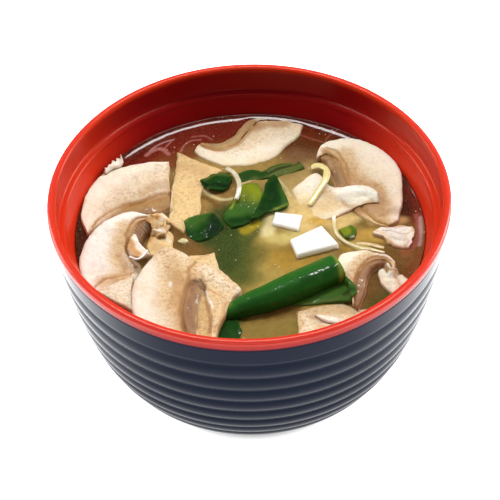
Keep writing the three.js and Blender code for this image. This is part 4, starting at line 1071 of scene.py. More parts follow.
def gill_values(data, seed, u, across, place, run, grown):
    """Values over a slice of two or more spans: its gills fill the second span, from the share
    `start` to the share `end` of its length, as lamellas LAMELLA apart along it; a third span is a
    hole, a crease follows the second rail, and the flesh grows warmer towards it."""
    start, end = data.get("gills", (-1, 2))
    present = smooth(u, start - 0.03, start + 0.03) * smooth(-u, -end - 0.03, 0.03 - end)
    grown = grown * present[:, None]
    gill = smooth(across, 1.0, 1.06) * (1 - smooth(across, 1.92, 2.0)) * grown
    wavering = run + 0.5 * cloud(place, 3.0, seed)
    return {
        "gill": gill,
        "stripes": data.get("stripes", 1) * gill,
        "lamella": 0.5 + 0.5 * np.sin(2 * np.pi * wavering / LAMELLA),
        "hole": smooth(across, 2.0, 2.1) * (1 - smooth(across, 2.9, 3.05)) * grown,
        # The finish darkens the crease as painted shade.
        "crease": np.exp(-np.abs(across - 1.0) / 0.14) * grown,
        "warm": smooth(across, 0.25, 1.0),
    }


def slice_faces(shape):
    """Faces of a slice whose upper grid of that shape is followed by its lower one."""
    upper = np.arange(shape[0] * shape[1]).reshape(shape)
    lower = upper + upper.size
    rim = border(upper)
    under = rim + upper.size
    side = np.stack([rim, np.roll(rim, -1), np.roll(under, -1), under], -1)
    return [np.concatenate([grid_cells(upper), grid_cells(lower)[:, ::-1], side])]


def slice_shape(name, data, below):
    """Vertices, faces and values of one slice, laid over the surfaces in `below`, and how near
    each vertex is to each of its marks.

    The top is the slice's plane plus its section's relief, waves, noise and the lift of its marks,
    less a rounding at each edge; the bottom is the plane less the thickness, or just above what
    lies below if that is higher. A piece that is sunk slides back by as much times SLANT."""
    kind = data["kind"]
    seed = sum(map(ord, name))
    u, across, plan = slice_plan(data, seed)
    x, y = plan[..., 0], plan[..., 1]
    place = flat(x, y)
    distances = edge_distances(plan)
    from_start = distances[2]

    section = np.array(data["section"])
    relief = np.interp(across, section[:, 0], section[:, 1])
    fade = data.get("fade", 0)
    grown = smooth(u, 0.4 * fade, fade)[:, None] if fade else np.ones((len(u), 1))
    phase = data.get("ripples", 2) * u[:, None] + 0.35 * across
    wave = data.get("wave", 0) * np.sin(2 * np.pi * phase)
    slope = data.get("slope", (0, 0))
    sink = data.get("sink", (0, 0, 0))
    sunk = sink[0] + sink[1] * x + sink[2] * y
    plane = data["top"] + slope[0] * x + slope[1] * y + wave - sunk
    thick = data["thick"]
    ragged = data.get("ragged", 0)
    edge_round, end_round = ROUNDING[kind]
    edge_round = min(RAGGED_ROUNDING if ragged else edge_round, 0.8 * thick)
    rounds = (edge_round, edge_round, end_round, end_round)
    drop = np.maximum.reduce([fillet(*edge) for edge in zip(distances, rounds)])
    top = plane + relief * grown - drop
    bottom = plane - thick + 0.4 * np.minimum(drop, 0.3 * thick)

    values = dict.fromkeys(("gill", "stripes", "lamella", "hole", "crease"), 0.0)
    values["warm"] = 0.35
    values["edge"] = np.exp(-np.minimum.reduce(distances) / 0.6)
    if len(data["rails"]) > 2:
        run = from_start[:, [len(across) // (len(data["rails"]) - 1)]]
        values.update(gill_values(data, seed, u, across, place, run, grown))
        top += LAMELLA_RELIEF * values["stripes"] * (2 * values["lamella"] - 1)
    if kind == "mushroom":
        top += 0.22 * cloud(place, 6.0, seed + 1) + 0.06 * cloud(place, 1.4, seed + 2, 2)
        if ragged:
            folds = cloud(place, 2.2, seed + 4)
            top += data["folds"] * folds
            # The finish darkens the hollows of the folds as painted shade.
            values["crease"] = smooth(-folds, 0.15, 0.7) * min(1, 2 * data["folds"])
    elif kind in ("leaf", "flap"):
        top += 0.12 * cloud(place, 2.5, seed + 1)

    marks = []
    sway_x, sway_y = cloud(place, 2.5, seed), cloud(place, 2.5, seed + 6)
    for _, _, width, lift, path in marks_of(name):
        bend = min(0.4, 0.5 * width)
        near = nearness(x + bend * sway_x, y + bend * sway_y, width, path)
        marks.append(np.tile(near.ravel(), 2))
        top += lift * near

    y = y + SLANT * sunk
    ground = below.at(x, y)
    top = np.maximum(top, ground + LEAST_COVER)
    bottom = np.minimum(np.maximum(bottom, ground + 0.05), top - 0.8 * LEAST_COVER)
    below.raise_to(x, y, top)
    points = np.stack([np.stack([x, y, z], -1) for z in (top, bottom)]).reshape(-1, 3)
    doubled = {k: np.tile(np.broadcast_to(v, x.shape).ravel(), 2) for k, v in values.items()}
    doubled["underside"] = np.repeat([0.0, 1.0], x.size)
    return points, slice_faces(x.shape), doubled, marks


@lru_cache(maxsize=None)
def laid_slices():
    """The shapes of all slices, each laid over the ones below it, and the surface they make."""
    surface = HeightMap()
    shapes = {name: slice_shape(name, data, surface) for name, data in SLICES.items()}
    return shapes, surface


# The tone that a piece of each kind starts from, and those that start from another.
BASE_TONES = {
    "mushroom": "pale", "leaf": "green", "flap": "mid", "onion": "onion", "tofu": "tofu",
    "mushroom_left": "white", "mushroom_torn": "white", "mushroom_scrap": "white",
    "mushroom_sliver": "white", "stem_chip": "white", "mushroom_crumple": "butter",
    "mushroom_stem_left": "butter", "stem_slab": "butter", "leaf_far": "olive",
    "leaf_small": "lime",
}
# How warm the flesh of a mushroom piece is, where it isn't WARMTH.
WARMTH = 0.5
PIECE_WARMTH = {
    "mushroom_back": 0.1, "mushroom_back_left": 0.1, "mushroom_stem_right": 0.1,
    "mushroom_torn": 0.1, "mushroom_left": 0.3, "mushroom_curl": 0.3, "mushroom_scrap": 0.3,
    "mushroom_right_back": 0.4, "mushroom_front_left": 0.8, "mushroom_wedge": 0.9,
    "mushroom_chip": 0.9, "stem_slab": 0.9, "slice_front_right": 0.9, "mushroom_crumple": 0.9,
    "mushroom_stem_left": 0.9,
}
# The values, besides its tone, that the material of each kind of slice reads.
READ_VALUES = {
    "mushroom": ("gill", "stripes", "lamella", "crease", "edge", "underside", "warm"),
    "leaf": ("edge",), "flap": ("edge",), "onion": (), "tofu": (),
}
FRECKLE = (0.32, 0.16, 0.05)


def painted(base, layers, count, food):
    """Colour at each of so many vertices: the base tone under (tone, amount) layers."""
    colour = np.tile(getattr(food, base), (count, 1))
    for key, amount in layers:
        colour = colour + (np.array(getattr(food, key)) - colour) * amount[:, None]
    return colour


def mark_layers(name, nearnesses):
    """A piece's marks as (tone, amount) layers, from how near the vertices are to each mark."""
    return [(mark[0], mark[1] * near) for mark, near in zip(marks_of(name), nearnesses)]


def make_slices(names, material, food):
    """Makes the named slices in one material, each painted in its own tones."""
    shapes, _ = laid_slices()
    for name in names:
        points, faces, shape_values, nearnesses = shapes[name]
        kind = SLICES[name]["kind"]
        warmth = PIECE_WARMTH.get(name, WARMTH)
        values = {key: shape_values[key] for key in READ_VALUES[kind]}
        layers = mark_layers(name, nearnesses)
        if kind == "mushroom":
            warm, hole = values["warm"], shape_values["hole"]
            layers = [("flesh", warm * warmth), ("gill", values["gill"]), ("butter", hole),
                      ("stain", hole * 0.4), *layers]
            marked = zip(marks_of(name), nearnesses)
            warm = np.maximum.reduce([warm, *(near for mark, near in marked if mark[0] == "flesh")])
            values["warm"] = warm * min(1, 0.3 + 1.4 * warmth)
        if kind in ("leaf", "flap"):
            values["wet"] = wetness(points)
        base = BASE_TONES.get(name, BASE_TONES[kind])
        values["tone"] = painted(base, layers, len(points), food)
        mesh_piece(f"{name}_piece", [name], points, faces, [material], values=values)


def mushroom_finish(name, food, soaking):
    """Painted flesh with soft blotches and freckles, painted shade in its creases and folds and in
    the grooves between the gills' lamellas, darker brown at the cut edges and on the underside,
    sparkling gloss on the gills, and a butter-coloured edge at the broth; soaking is how much more
    it is freckled."""
    finish = Finish(name, Specular_IOR_Level=0.3, Coat_Roughness=0.08, Subsurface_Weight=0.3,
                    Subsurface_Radius=(0.005, 0.002, 0.001), Subsurface_Scale=0.4)
    low = 1 - finish.above_soup(0.1, 1.4)
    blotch = finish.noise(5, detail=4, rough=0.6, bend=0.4)
    patch = finish.noise(7, detail=3).between(0.42, 0.62)
    speck = finish.noise(1.0, detail=4, rough=0.75)
    fine = finish.noise(0.45, detail=1)
    gill = finish.attribute("gill")
    warm = finish.attribute("warm")
    tone_layer = finish.colour_attribute("tone")
    colour = finish.mix(blotch.between(0.48, 0.75) * 0.3, tone_layer, food.flesh)
    colour = finish.mix(low * 0.5, colour, food.butter)
    # Painted shade in the creases and fold hollows, and a darker brown at cut edges and underside.
    shade_and_stain = finish.attribute("crease") * 0.8 + finish.attribute("edge") * 0.3
    shade_and_stain = shade_and_stain + finish.attribute("underside") * 0.5
    colour = finish.mix(shade_and_stain.math("MINIMUM", shade_and_stain, 1.0), colour, food.stain)
    freckled = patch * (0.12 + warm * 0.25) + (warm * 0.3 + (0.08 + 0.3 * soaking))
    freckled = speck.between(0.44, 0.64) * freckled
    freckled = freckled + fine.between(0.46, 0.62) * (warm * 0.16 + 0.06)
    colour = finish.mix(freckled, colour, FRECKLE)
    # Painted shade in the grooves between the gills' lamellas.
    lines = (1 - finish.attribute("lamella")) * finish.attribute("stripes") * 0.3
    colour = finish.mix(lines, colour, food.shade)
    sparkle = finish.noise(0.9, detail=1).between(0.58, 0.66)
    finish.surface(Base_Color=colour, Roughness=0.5 + fine * 0.1, Coat_Weight=gill * sparkle)
    finish.bump(speck * 0.6 + fine * 0.4, 0.10, 0.5)
    return finish.made


# The slices that have soaked in the broth, and the lighter and darker leaves.
SOAKED = ("mushroom_wedge", "mushroom_chip", "stem_slab", "slice_front_right")
LIGHT_LEAVES = ("leaf_bright", "leaf_left", "leaf_small")
DARK_LEAVES = ("leaf_front", "leaf_far", "leaf_back", "leaf_dark")


class SOUP_OT_mushrooms(Operator):
    """Lay the mushroom slices and scraps, the soaked ones darker than the rest."""

    bl_idname = "soup.mushrooms"
    bl_label = "Mushrooms"

    def execute(self, context):
        food = context.scene.soup_food
        names = [name for name, data in SLICES.items() if data["kind"] == "mushroom"]
        fresh = mushroom_finish("mushroom_flesh", food, 0)
        soaked = mushroom_finish("mushroom_soaked", food, 0.6)
        fresh_names = [name for name in names if name not in SOAKED]
        soaked_names = [name for name in names if name in SOAKED]
        make_slices(fresh_names, fresh, food)
        make_slices(soaked_names, soaked, food)
        return {"FINISHED"}


def wetness(points):
    """1 at the wet places, 0 elsewhere."""
    x, y = points[:, 0], points[:, 1]
    return np.max([nearness(x, y, width, in_plan(path, height)) for width, height, path in WET], 0)


def green_finish(name, food, amount):
    """Painted greens broken by a given amount of lighter streaks, with a lighter cut edge; matt
    but for the wet places and scattered sparkles."""
    finish = Finish(name, Specular_IOR_Level=0.04, Coat_Roughness=0.06)
    streak = finish.noise(3.0, detail=4, rough=0.6, bend=0.8)
    mottle = finish.noise(0.7, detail=3)
    share = streak.between(0.45, 0.75) * amount + finish.attribute("edge") * 0.35
    share = share + mottle.between(0.5, 0.8) * 0.1
    colour = finish.mix(share, finish.colour_attribute("tone"), food.mid)
    sparkle = finish.noise(0.8, detail=1)
    wet = finish.attribute("wet") * sparkle.between(0.44, 0.54)
    wet = wet + sparkle.between(0.64, 0.7) * 0.7
    finish.surface(Base_Color=colour, Roughness=0.42 + mottle * 0.1, Coat_Weight=wet)
    finish.bump(streak * 0.6 + mottle * 0.4, 0.2, 0.6)
    return finish.made


class SOUP_OT_leaves(Operator):
    """Lay the pieces of leaf and the split piece of green onion."""

    bl_idname = "soup.leaves"
    bl_label = "Leaves"

    def execute(self, context):
        food = context.scene.soup_food
        green = green_finish("leaf_green", food, 0.2)
        make_slices((*LIGHT_LEAVES, "green_onion_flap"), green, food)
        make_slices(DARK_LEAVES, green, food)
        return {"FINISHED"}


TOFU_CREAM = (0.80, 0.68, 0.38)


def tofu_finish(food):
    """Soft white curd with a faint cream mottle, creamier at the broth, and fine pores."""
    finish = Finish("tofu_curd", Coat_Weight=0.2, Coat_Roughness=0.2, Subsurface_Weight=1.0,
                    Subsurface_Radius=(0.005, 0.005, 0.004), Subsurface_Scale=1.0)
    mottle = finish.noise(2.5, detail=4)
    pores = finish.cells(0.7)
    soaked = 1 - finish.above_soup(0.1, 1.2)
    cream = finish.mix(mottle.between(0.5, 0.8) * 0.25 + soaked * 0.6, food.tofu, TOFU_CREAM)
    finish.surface(Base_Color=cream, Roughness=0.42 + mottle * 0.15)
    finish.bump(pores.between(0.0, 0.5), 0.06, 0.5)
    return finish.made


class SOUP_OT_tofu(Operator):
    """Lay the tofu cubes."""

    bl_idname = "soup.tofu"
    bl_label = "Tofu"

    def execute(self, context):
        food = context.scene.soup_food
        make_slices(["tofu_front", "tofu_back"], tofu_finish(food), food)
        return {"FINISHED"}


# ---- Onion strands and the green onion ------------------------------------------------------

# Strands by name: screen colour, half width, half height and route.
STRANDS = {
    "onion_low": ((222, 190, 120), 0.7, 0.3, [(31.5, -5.6, 53.8), (34, -6, 54), (37, -6.8, 54),
        (40, -8, 53.8)]),
    "onion_arc": ((226, 208, 156), 0.55, 0.35, [(25.5, 6.1, 54.2), (25.5, 1.6, 54.4),
        (26.1, -2, 54.6), (27.9, -5.2, 54.8), (30.2, -7.4, 55.1), (33.4, -10.1, 56),
        (37.1, -12.3, 56.8), (39.7, -13.2, 57)]),
    "onion_strand_right": ((232, 214, 136), 1, 0.4, [(19.4, 26.5, 55.3), (21.7, 26.7, 56),
        (23.8, 24.4, 56.8), (24.1, 21.4, 57.1), (23.1, 18.4, 56.8), (21.3, 15.4, 56.2),
        (19.4, 12.3, 55.4), (18.1, 10.4, 54.8)]),
    "onion_strand_back": ((206, 196, 164), 0.8, 0.45, [(-6.8, 27.3, 55.6), (-4.7, 24.5, 56.4),
        (-3.3, 20.8, 56.9), (-2.9, 17.7, 56.9), (-3.3, 14.9, 56.4), (-4, 12.7, 55.8)]),
    "onion_curl": ((246, 236, 224), 0.35, 0.3, [(-36, -11.5, 57.2), (-34, -13.1, 57.6),
        (-32.4, -12.3, 57.6), (-30.6, -9.5, 57.2)]),
}
# The green onion's route, and its half widths and half heights at even steps along it.
GREEN_ONION_PATH = [(-8, -33.8, 55.2), (-4, -32.6, 55.9), (0, -31.2, 56.4), (4.5, -29.7, 56.8),
                    (8.5, -27.8, 57), (13, -25.5, 57.2), (17.5, -23.2, 57.4), (25.5, -19, 57.6)]
GREEN_ONION_WIDTHS = [2.2, 3.2, 3.9, 4.3, 4.6, 4.7, 4.6]
GREEN_ONION_HEIGHTS = [1.8, 2.6, 3.1, 3.4, 3.6, 3.5, 3.2]
GREEN_ONION_SIDES = 72
ONION_LIGHT = (0.80, 0.76, 0.60)


def tube(path, radii, sides, fullness=1):
    """A tube of given (width, height) half axes along a path, closed by a tip at each end. The
    section stands upright, square to the path's direction in plan: an ellipse whose lower half
    is the squarer the less the fullness is."""
    ahead = np.gradient(path, axis=0)[:, :2]
    ahead = ahead / np.linalg.norm(ahead, axis=1)[:, None]
    across = flat(-ahead[:, 1], ahead[:, 0])
    turn = np.linspace(0, 2 * np.pi, sides, endpoint=False)
    spread = np.abs(np.cos(turn)) ** np.where(np.sin(turn) < 0, fullness, 1)
    spread = np.sign(np.cos(turn)) * spread
    rings = path[:, None] + across[:, None] * (radii[:, :1, None] * spread[None, :, None])
    rings[..., 2] += radii[:, 1:] * np.sin(turn)
    points = np.concatenate([rings.reshape(-1, 3), path[:1], path[-1:]])
    index = np.arange(len(path) * sides).reshape(-1, sides)
    ends = [fan(index[0], index.size)[:, ::-1], fan(index[-1], index.size + 1)]
    return points, [grid_cells(index, wrap=True)[:, ::-1], *ends]


def strand_shape(half_width, half_height, route, surface):
    """A strand along its route, lifted over what lies below it and smoothed, with rounded ends
    and slightly uneven thickness."""
    share = np.linspace(0, 1, 70)
    path = spline(route, share)
    ground = surface.at(path[:, 0], path[:, 1])
    path[:, 2] = np.maximum(path[:, 2], ground + 0.6 * half_height)
    for _ in range(6):
        path[1:-1, 2] = (path[:-2, 2] + 2 * path[1:-1, 2] + path[2:, 2]) / 4
    rounding = np.sqrt(np.clip(1 - np.abs(2 * share - 1) ** 30, 0.05, 1))
    swell = rounding * (1 + 0.15 * cloud(path, 3.0, 7))
    return tube(path, np.stack([half_width * swell, half_height * swell], 1), 16)


def onion_finish():
    """Pale glossy onion with faint lighter streaks."""
    finish = Finish("pale_onion", Coat_Weight=0.6, Coat_Roughness=0.06, Subsurface_Weight=0.2,
                    Subsurface_Radius=(0.002, 0.002, 0.001), Subsurface_Scale=0.5)
    streak = finish.noise(1.2, detail=3)
    tone_layer = finish.colour_attribute("tone")
    colour = finish.mix(streak.between(0.4, 0.7) * 0.3, tone_layer, ONION_LIGHT)
    finish.surface(Base_Color=colour, Roughness=0.2 + streak * 0.1)
    finish.bump(streak, 0.05, 0.5)
    return finish.made


class SOUP_OT_onion(Operator):
    """Lay the pale onion strands and bits."""

    bl_idname = "soup.onion"
    bl_label = "Onion strands"

    def execute(self, context):
        food = context.scene.soup_food
        material = onion_finish()
        make_slices(["onion_bit"], material, food)
        _, surface = laid_slices()
        for name, (colour, half_width, half_height, route) in STRANDS.items():
            points, faces = strand_shape(half_width, half_height, route, surface)
            values = {"tone": np.tile(LAMP_SHARE * srgb(*colour), (len(points), 1))}
            mesh_piece(f"{name}_piece", [name], points, faces, [material], values=values)
        return {"FINISHED"}


class SOUP_OT_green_onion(Operator):
    """Lay the thick piece of green onion."""

    bl_idname = "soup.green_onion"
    bl_label = "Green onion"

    def execute(self, context):
        food = context.scene.soup_food
        share = np.linspace(0, 1, 150)
        path = spline(GREEN_ONION_PATH, share)
        knots = np.linspace(0, 1, len(GREEN_ONION_WIDTHS))
        width = np.interp(share, knots, GREEN_ONION_WIDTHS)
        height = np.interp(share, knots, GREEN_ONION_HEIGHTS)
        radii = np.stack([width, height], 1)
        points, faces = tube(path, radii, GREEN_ONION_SIDES, 0.4)
        x, y = points[:, 0], points[:, 1]
        nearnesses = [nearness(x, y, mark[2], mark[4]) for mark in marks_of("green_onion_tube")]
        layers = mark_layers("green_onion_tube", nearnesses)
        along = np.concatenate([np.repeat(share, GREEN_ONION_SIDES), [share[0], share[-1]]])
        values = {
            "edge": np.exp(-(1 - along) / 0.015),
            "tone": painted("grass", layers, len(points), food),
            "wet": wetness(points),
        }
        material = green_finish("green_onion_skin", food, 0.3)
        mesh_piece("green_onion_piece", ["green_onion_tube"], points, faces, [material],
                   values=values)
        return {"FINISHED"}


# ---- The broth ------------------------------------------------------------------------------

# Screen colours of the broth and of what lies just under its surface; rose, mauve and terracotta
# are painted reflections on it, and sprout is painted light.
BROTH_TONES = {
    "cloudy": (146, 118, 62), "light": (162, 132, 74), "murky": (104, 86, 36),
    "brown": (128, 72, 40), "russet": (106, 24, 20), "maroon": (84, 8, 8),
    "hidden": (120, 92, 40), "grain": (170, 140, 80), "drop": (226, 220, 186),
    "umber": (112, 80, 39), "bark": (92, 46, 18), "rust": (122, 62, 32), "copper": (150, 86, 52),
    "dun": (122, 86, 56), "wine": (112, 28, 22), "claret": (66, 20, 9), "moss": (72, 82, 33),
    # Sprout is painted light under the green onion.
    "sedge": (84, 80, 33), "fern": (50, 68, 26), "olive": (92, 98, 36), "sprout": (120, 150, 66),
    "khaki": (130, 111, 51), "straw": (169, 143, 73), "oat": (176, 148, 92),
    "honey": (168, 131, 52), "sand": (150, 116, 64), "biscuit": (226, 193, 126),
    "caramel": (205, 163, 78), "wheat": (199, 179, 109), "toffee": (180, 138, 78),
    "peach": (210, 164, 106), "cream": (223, 206, 151), "mustard": (152, 134, 30),
    # Rose, mauve and terracotta are painted reflections.
    "rose": (187, 121, 112), "mauve": (190, 150, 150), "terracotta": (162, 88, 77),
}

# Pools and streaks on the broth, one over another: tone, cover, half width and path in the view.
# The rose, mauve and terracotta streaks are painted reflections, and the sprout streak is painted
# light.
POOLS = [
    ("umber", 0.9, 9, [(175, 232), (188, 244), (205, 248)]),
    ("sand", 0.9, 6, [(200, 200), (215, 204), (228, 196)]),
    ("bark", 0.95, 7, [(288, 142), (305, 147), (322, 148)]),
    ("dun", 0.9, 4.5, [(300, 158), (315, 160), (328, 166)]),
    ("oat", 0.9, 6, [(285, 190), (298, 186), (310, 176)]),
    ("wine", 0.8, 5, [(168, 152), (182, 140), (198, 132)]),
    ("rust", 0.85, 3.2, [(164, 162), (176, 160), (192, 152)]),
    ("wine", 0.8, 4, [(205, 132), (222, 128), (238, 124)]),
    ("umber", 0.95, 9, [(368, 290), (390, 268), (404, 248)]),
    ("rust", 0.8, 3, [(398, 290), (420, 262), (430, 236)]),
    ("sedge", 0.9, 2.6, [(374, 308), (384, 299), (395, 287)]),
    ("copper", 0.8, 1.8, [(405, 253), (410, 245), (413, 238)]),
    ("claret", 0.9, 4, [(403, 185), (406, 200), (404, 212)]),
    ("wine", 0.7, 2.5, [(412, 190), (417, 205), (418, 220)]),
    ("claret", 0.95, 5, [(82, 222), (78, 240), (78, 262)]),
    ("claret", 0.95, 4.5, [(98, 298), (115, 310), (130, 318)]),
    ("sand", 0.9, 4, [(136, 250), (140, 262), (136, 276)]),
    ("khaki", 0.9, 8, [(262, 250), (254, 268), (246, 284)]),
    ("straw", 0.9, 6, [(272, 272), (262, 284), (290, 268)]),
    ("honey", 0.95, 4.5, [(282, 258), (296, 260), (312, 254)]),
    ("moss", 0.95, 7, [(238, 240), (236, 256), (238, 272)]),
    ("fern", 0.95, 5.5, [(226, 216), (226, 240), (224, 264)]),
    ("fern", 0.9, 3.5, [(232, 222), (244, 220), (256, 216)]),
    ("moss", 0.7, 3, [(250, 240), (262, 236), (256, 226)]),
    ("fern", 0.9, 3, [(205, 238), (216, 242), (226, 232)]),
    ("olive", 0.8, 1.8, [(262, 222), (270, 212), (276, 208)]),
    ("sedge", 0.9, 3.5, [(238, 314), (262, 308), (292, 304)]),
    # Painted light: a lighter green under the green onion that offsets its shadow.
    ("sprout", 0.95, 2.2, [(262, 310), (275, 306), (294, 301)]),
    ("fern", 0.95, 4.2, [(218, 334), (228, 322), (236, 312)]),
    ("khaki", 0.8, 5, [(262, 332), (280, 332), (294, 328)]),
    ("umber", 0.7, 2.5, [(270, 316), (285, 313), (294, 311)]),
    ("biscuit", 0.95, 6, [(296, 206), (306, 212), (322, 208)]),
    ("biscuit", 0.95, 4.5, [(300, 226), (312, 216), (336, 212)]),
    ("caramel", 0.9, 1.6, [(312, 221), (322, 221), (332, 219)]),
    ("biscuit", 0.9, 3.5, [(338, 226), (344, 218), (354, 214)]),
    ("caramel", 0.9, 2.8, [(356, 236), (366, 236), (378, 236)]),
    ("wheat", 0.9, 2.2, [(340, 236), (348, 244), (360, 248)]),
    ("honey", 0.8, 1.4, [(342, 246), (356, 254), (368, 256)]),
    ("toffee", 0.9, 2.4, [(360, 212), (370, 208), (380, 214)]),
    ("peach", 0.8, 1.8, [(372, 222), (388, 222), (402, 220)]),
    ("straw", 0.95, 3.6, [(268, 240), (280, 240), (292, 236)]),
    ("cream", 1, 2.4, [(268, 234), (271, 222), (275, 212)]),
    ("wheat", 0.9, 2, [(272, 240), (284, 238), (296, 233)]),
    ("cream", 0.7, 0.5, [(267, 236), (271, 224), (275, 212)]),
    ("mustard", 1, 1.5, [(244, 231), (250, 228), (257, 225)]),
    ("umber", 0.9, 0.9, [(200, 196), (210, 200), (220, 208)]),
    ("cream", 0.8, 0.6, [(203, 190), (212, 196), (224, 200), (236, 198)]),
    ("cream", 0.6, 0.5, [(241, 184), (252, 180), (266, 178)]),
    ("cream", 0.6, 0.5, [(279, 180), (286, 188), (290, 196)]),
    # Painted reflections: pale pink arcs on the broth towards the back on the left.
    ("rose", 0.7, 0.7, [(147, 155), (153, 151), (161, 149), (169, 154)]),
    ("mauve", 0.7, 0.3, [(150, 151), (157, 146), (166, 142), (174, 140)]),
    ("rose", 0.6, 0.3, [(163, 150), (167, 146), (171, 142)]),
    ("rose", 0.6, 0.3, [(181, 152), (184, 146), (191, 141), (201, 140)]),
    ("rose", 0.5, 0.3, [(192, 137), (204, 136), (212, 140)]),
    # Painted reflections: pink arcs on the broth towards the back on the right.
    ("terracotta", 0.6, 0.3, [(300, 135), (312, 139), (326, 143)]),
    ("terracotta", 0.6, 0.3, [(326, 146), (326, 140), (332, 134), (340, 131)]),
    # Painted reflections on the broth beside the right wall.
    ("terracotta", 0.7, 0.9, [(416, 216), (419, 228), (417, 240), (412, 248)]),
    ("mauve", 0.7, 0.6, [(420, 219), (421, 232), (419, 246)]),
]


def soup_colour(x, y):
    """Colour of the broth's surface in plan: a cloudy tan in drifts, red-brown where the wall shows
    near the edge and most of all at the back, under pools with wandering, soft edges, some of which
    are painted reflections and painted light."""
    radius = np.hypot(x, y)
    place = flat(x, y)
    drift = cloud(place, 12, 5, 4)
    fine = cloud(place, 1.3, 9, 3)
    colour = np.broadcast_to(srgb(*BROTH_TONES["cloudy"]), (*x.shape, 3))

    def blend(key, amount):
        nonlocal colour
        colour = colour + (srgb(*BROTH_TONES[key]) - colour) * np.clip(amount, 0, 1)[..., None]

    blend("light", smooth(drift, 0.0, 0.8) * 0.6)
    blend("murky", smooth(-drift, 0.0, 0.8) * 0.5)
    back = smooth(y + 0.25 * np.abs(x), 8, 34)
    blend("brown", smooth(radius, 34, 42) * back * 0.8)
    blend("russet", smooth(radius, 39 - 2 * back, 46 - 2 * back) * (0.2 + 0.75 * back))
    blend("maroon", smooth(radius, 45, 51) * (0.3 + 0.6 * back))
    sway_x, sway_y = cloud(place, 5, 21), cloud(place, 5, 31)
    for key, cover, width, path in POOLS:
        bend = min(0.9, 0.28 * width)
        path = in_plan(path, SOUP_LEVEL)
        blend(key, cover * nearness(x + bend * sway_x, y + bend * sway_y, width, path))
    return LAMP_SHARE * colour * (1 + 0.10 * fine)[..., None]


# The broth: points along each side of its surface's grid, its distance from the wall, its lowest
# height, how far it climbs the wall and over what width, and how far it climbs round the pieces.
BROTH_POINTS = 285
BROTH_GAP = 0.12
BROTH_BOTTOM = 9.0
WALL_CLIMB = 1.15
CLIMB_WIDTH = 1.5
PIECE_CLIMB = 0.2


def soup_surface():
    """A closed body: a disc with its height and colour worked out at each vertex, over a plain
    lower part that follows the bowl's hollow. The disc is a square grid in which each (a, b) of
    -1 to 1 goes to a * sqrt(1 - b^2 / 2), b * sqrt(1 - a^2 / 2); it climbs towards the wall, less
    and less steeply away from it, and a little round what stands out of it."""
    edge_radius = radius_at(HOLLOW, SOUP_LEVEL + 0.7) - BROTH_GAP
    side = np.linspace(-1, 1, BROTH_POINTS)
    a, b = np.meshgrid(side, side, indexing="ij")
    x = edge_radius * a * np.sqrt(1 - b**2 / 2)
    y = edge_radius * b * np.sqrt(1 - a**2 / 2)
    radius = np.hypot(x, y)
    _, surface = laid_slices()
    wall_climb = WALL_CLIMB * np.exp(-(edge_radius - radius) / CLIMB_WIDTH)
    ripple = 0.04 * cloud(flat(x, y), 6, 3)
    z = SOUP_LEVEL + wall_climb + PIECE_CLIMB * surface.nearness(x, y) + ripple
    colour = soup_colour(x, y)
    top = np.stack([x, y, z], -1).reshape(-1, 3)
    index = np.arange(len(top)).reshape(x.shape)
    rim = border(index)
    turn = np.arctan2(top[rim, 1], top[rim, 0])
    heights = np.concatenate([[SOUP_LEVEL], np.linspace(50, BROTH_BOTTOM + 0.2, 5)])[:, None]
    lower = radius_at(HOLLOW, heights) - BROTH_GAP
    rings = [lower * np.cos(turn), lower * np.sin(turn), heights * np.ones(len(turn))]
    rings = np.stack(rings, -1)
    start = len(top)
    ring_index = start + np.arange(rings.shape[0] * len(rim)).reshape(-1, len(rim))
    shell = np.concatenate([rim[None], ring_index])
    points = np.concatenate([top, rings.reshape(-1, 3), [[0, 0, BROTH_BOTTOM]]])
    cells = np.concatenate([grid_cells(index), grid_cells(shell, wrap=True)[:, ::-1]])
    faces = [cells, fan(ring_index[-1], len(points) - 1)]
    below = np.broadcast_to(srgb(*BROTH_TONES["hidden"]), (len(points) - start, 3))
    return points, faces, {"broth": np.concatenate([colour.reshape(-1, 3), below])}


def broth_finish():
    """Cloudy broth with a wet surface, fine grains of miso and pale droplets of fat."""
    finish = Finish("miso_broth", IOR=1.34, Coat_Weight=0.25, Coat_Roughness=0.03)
    grain = finish.noise(0.5, detail=3, rough=0.7)
    grain_colour, drop_colour = (tuple(srgb(*BROTH_TONES[key])) for key in ("grain", "drop"))
    colour = finish.colour_attribute("broth")
    colour = finish.mix(grain.between(0.45, 0.8) * 0.25, colour, grain_colour)
    drops = finish.cells(1.7).between(0.17, 0.09) * finish.noise(6, detail=2).between(0.5, 0.62)
    colour = finish.mix(drops * 0.55, colour, drop_colour)
    finish.surface(Base_Color=colour, Roughness=0.08 + grain * 0.04)
    return finish.made


class SOUP_OT_broth(Operator):
    """Fill the bowl with broth."""

    bl_idname = "soup.broth"
    bl_label = "Broth"

    def execute(self, context):
        points, faces, values = soup_surface()
        mesh_piece("broth_body", ["soup"], points, faces, [broth_finish()], values=values)
        return {"FINISHED"}


# ---- The stage ------------------------------------------------------------------------------


# Lamps: name, place, point aimed at and size, in metres, and watts.
LIGHTS = [
    ("light_key", (0, 0.36, 0.95), (0, 0, 0.05), (0.8, 0.2), 8.5),
    ("light_side", (-0.75, 0.40, 0.45), (0, 0, 0.05), (0.4, 0.4), 5.2),
    ("light_side", (0.75, 0.40, 0.45), (0, 0, 0.05), (0.4, 0.4), 7.5),
    ("light_front", (0, -0.62, 0.72), (0, 0, 0.06), (0.6, 0.12), 1.2),
]
# The floor, in metres: half its side, and the distances from its middle, and from a point in
# front of it, over which its glow rises from a painted shadow, dark under the bowl and grey in front
# of it, to plain white.
FLOOR_HALF = 3.0
FLOOR_GLOW = 2.6
NEAR_GLOW = (0.031, 0.037)
FAR_GLOW = (0.055, 0.11)
GLOW_CENTRE = (0, -0.07)
GLOW_GREYS = (0.01, 0.42, 1.0)


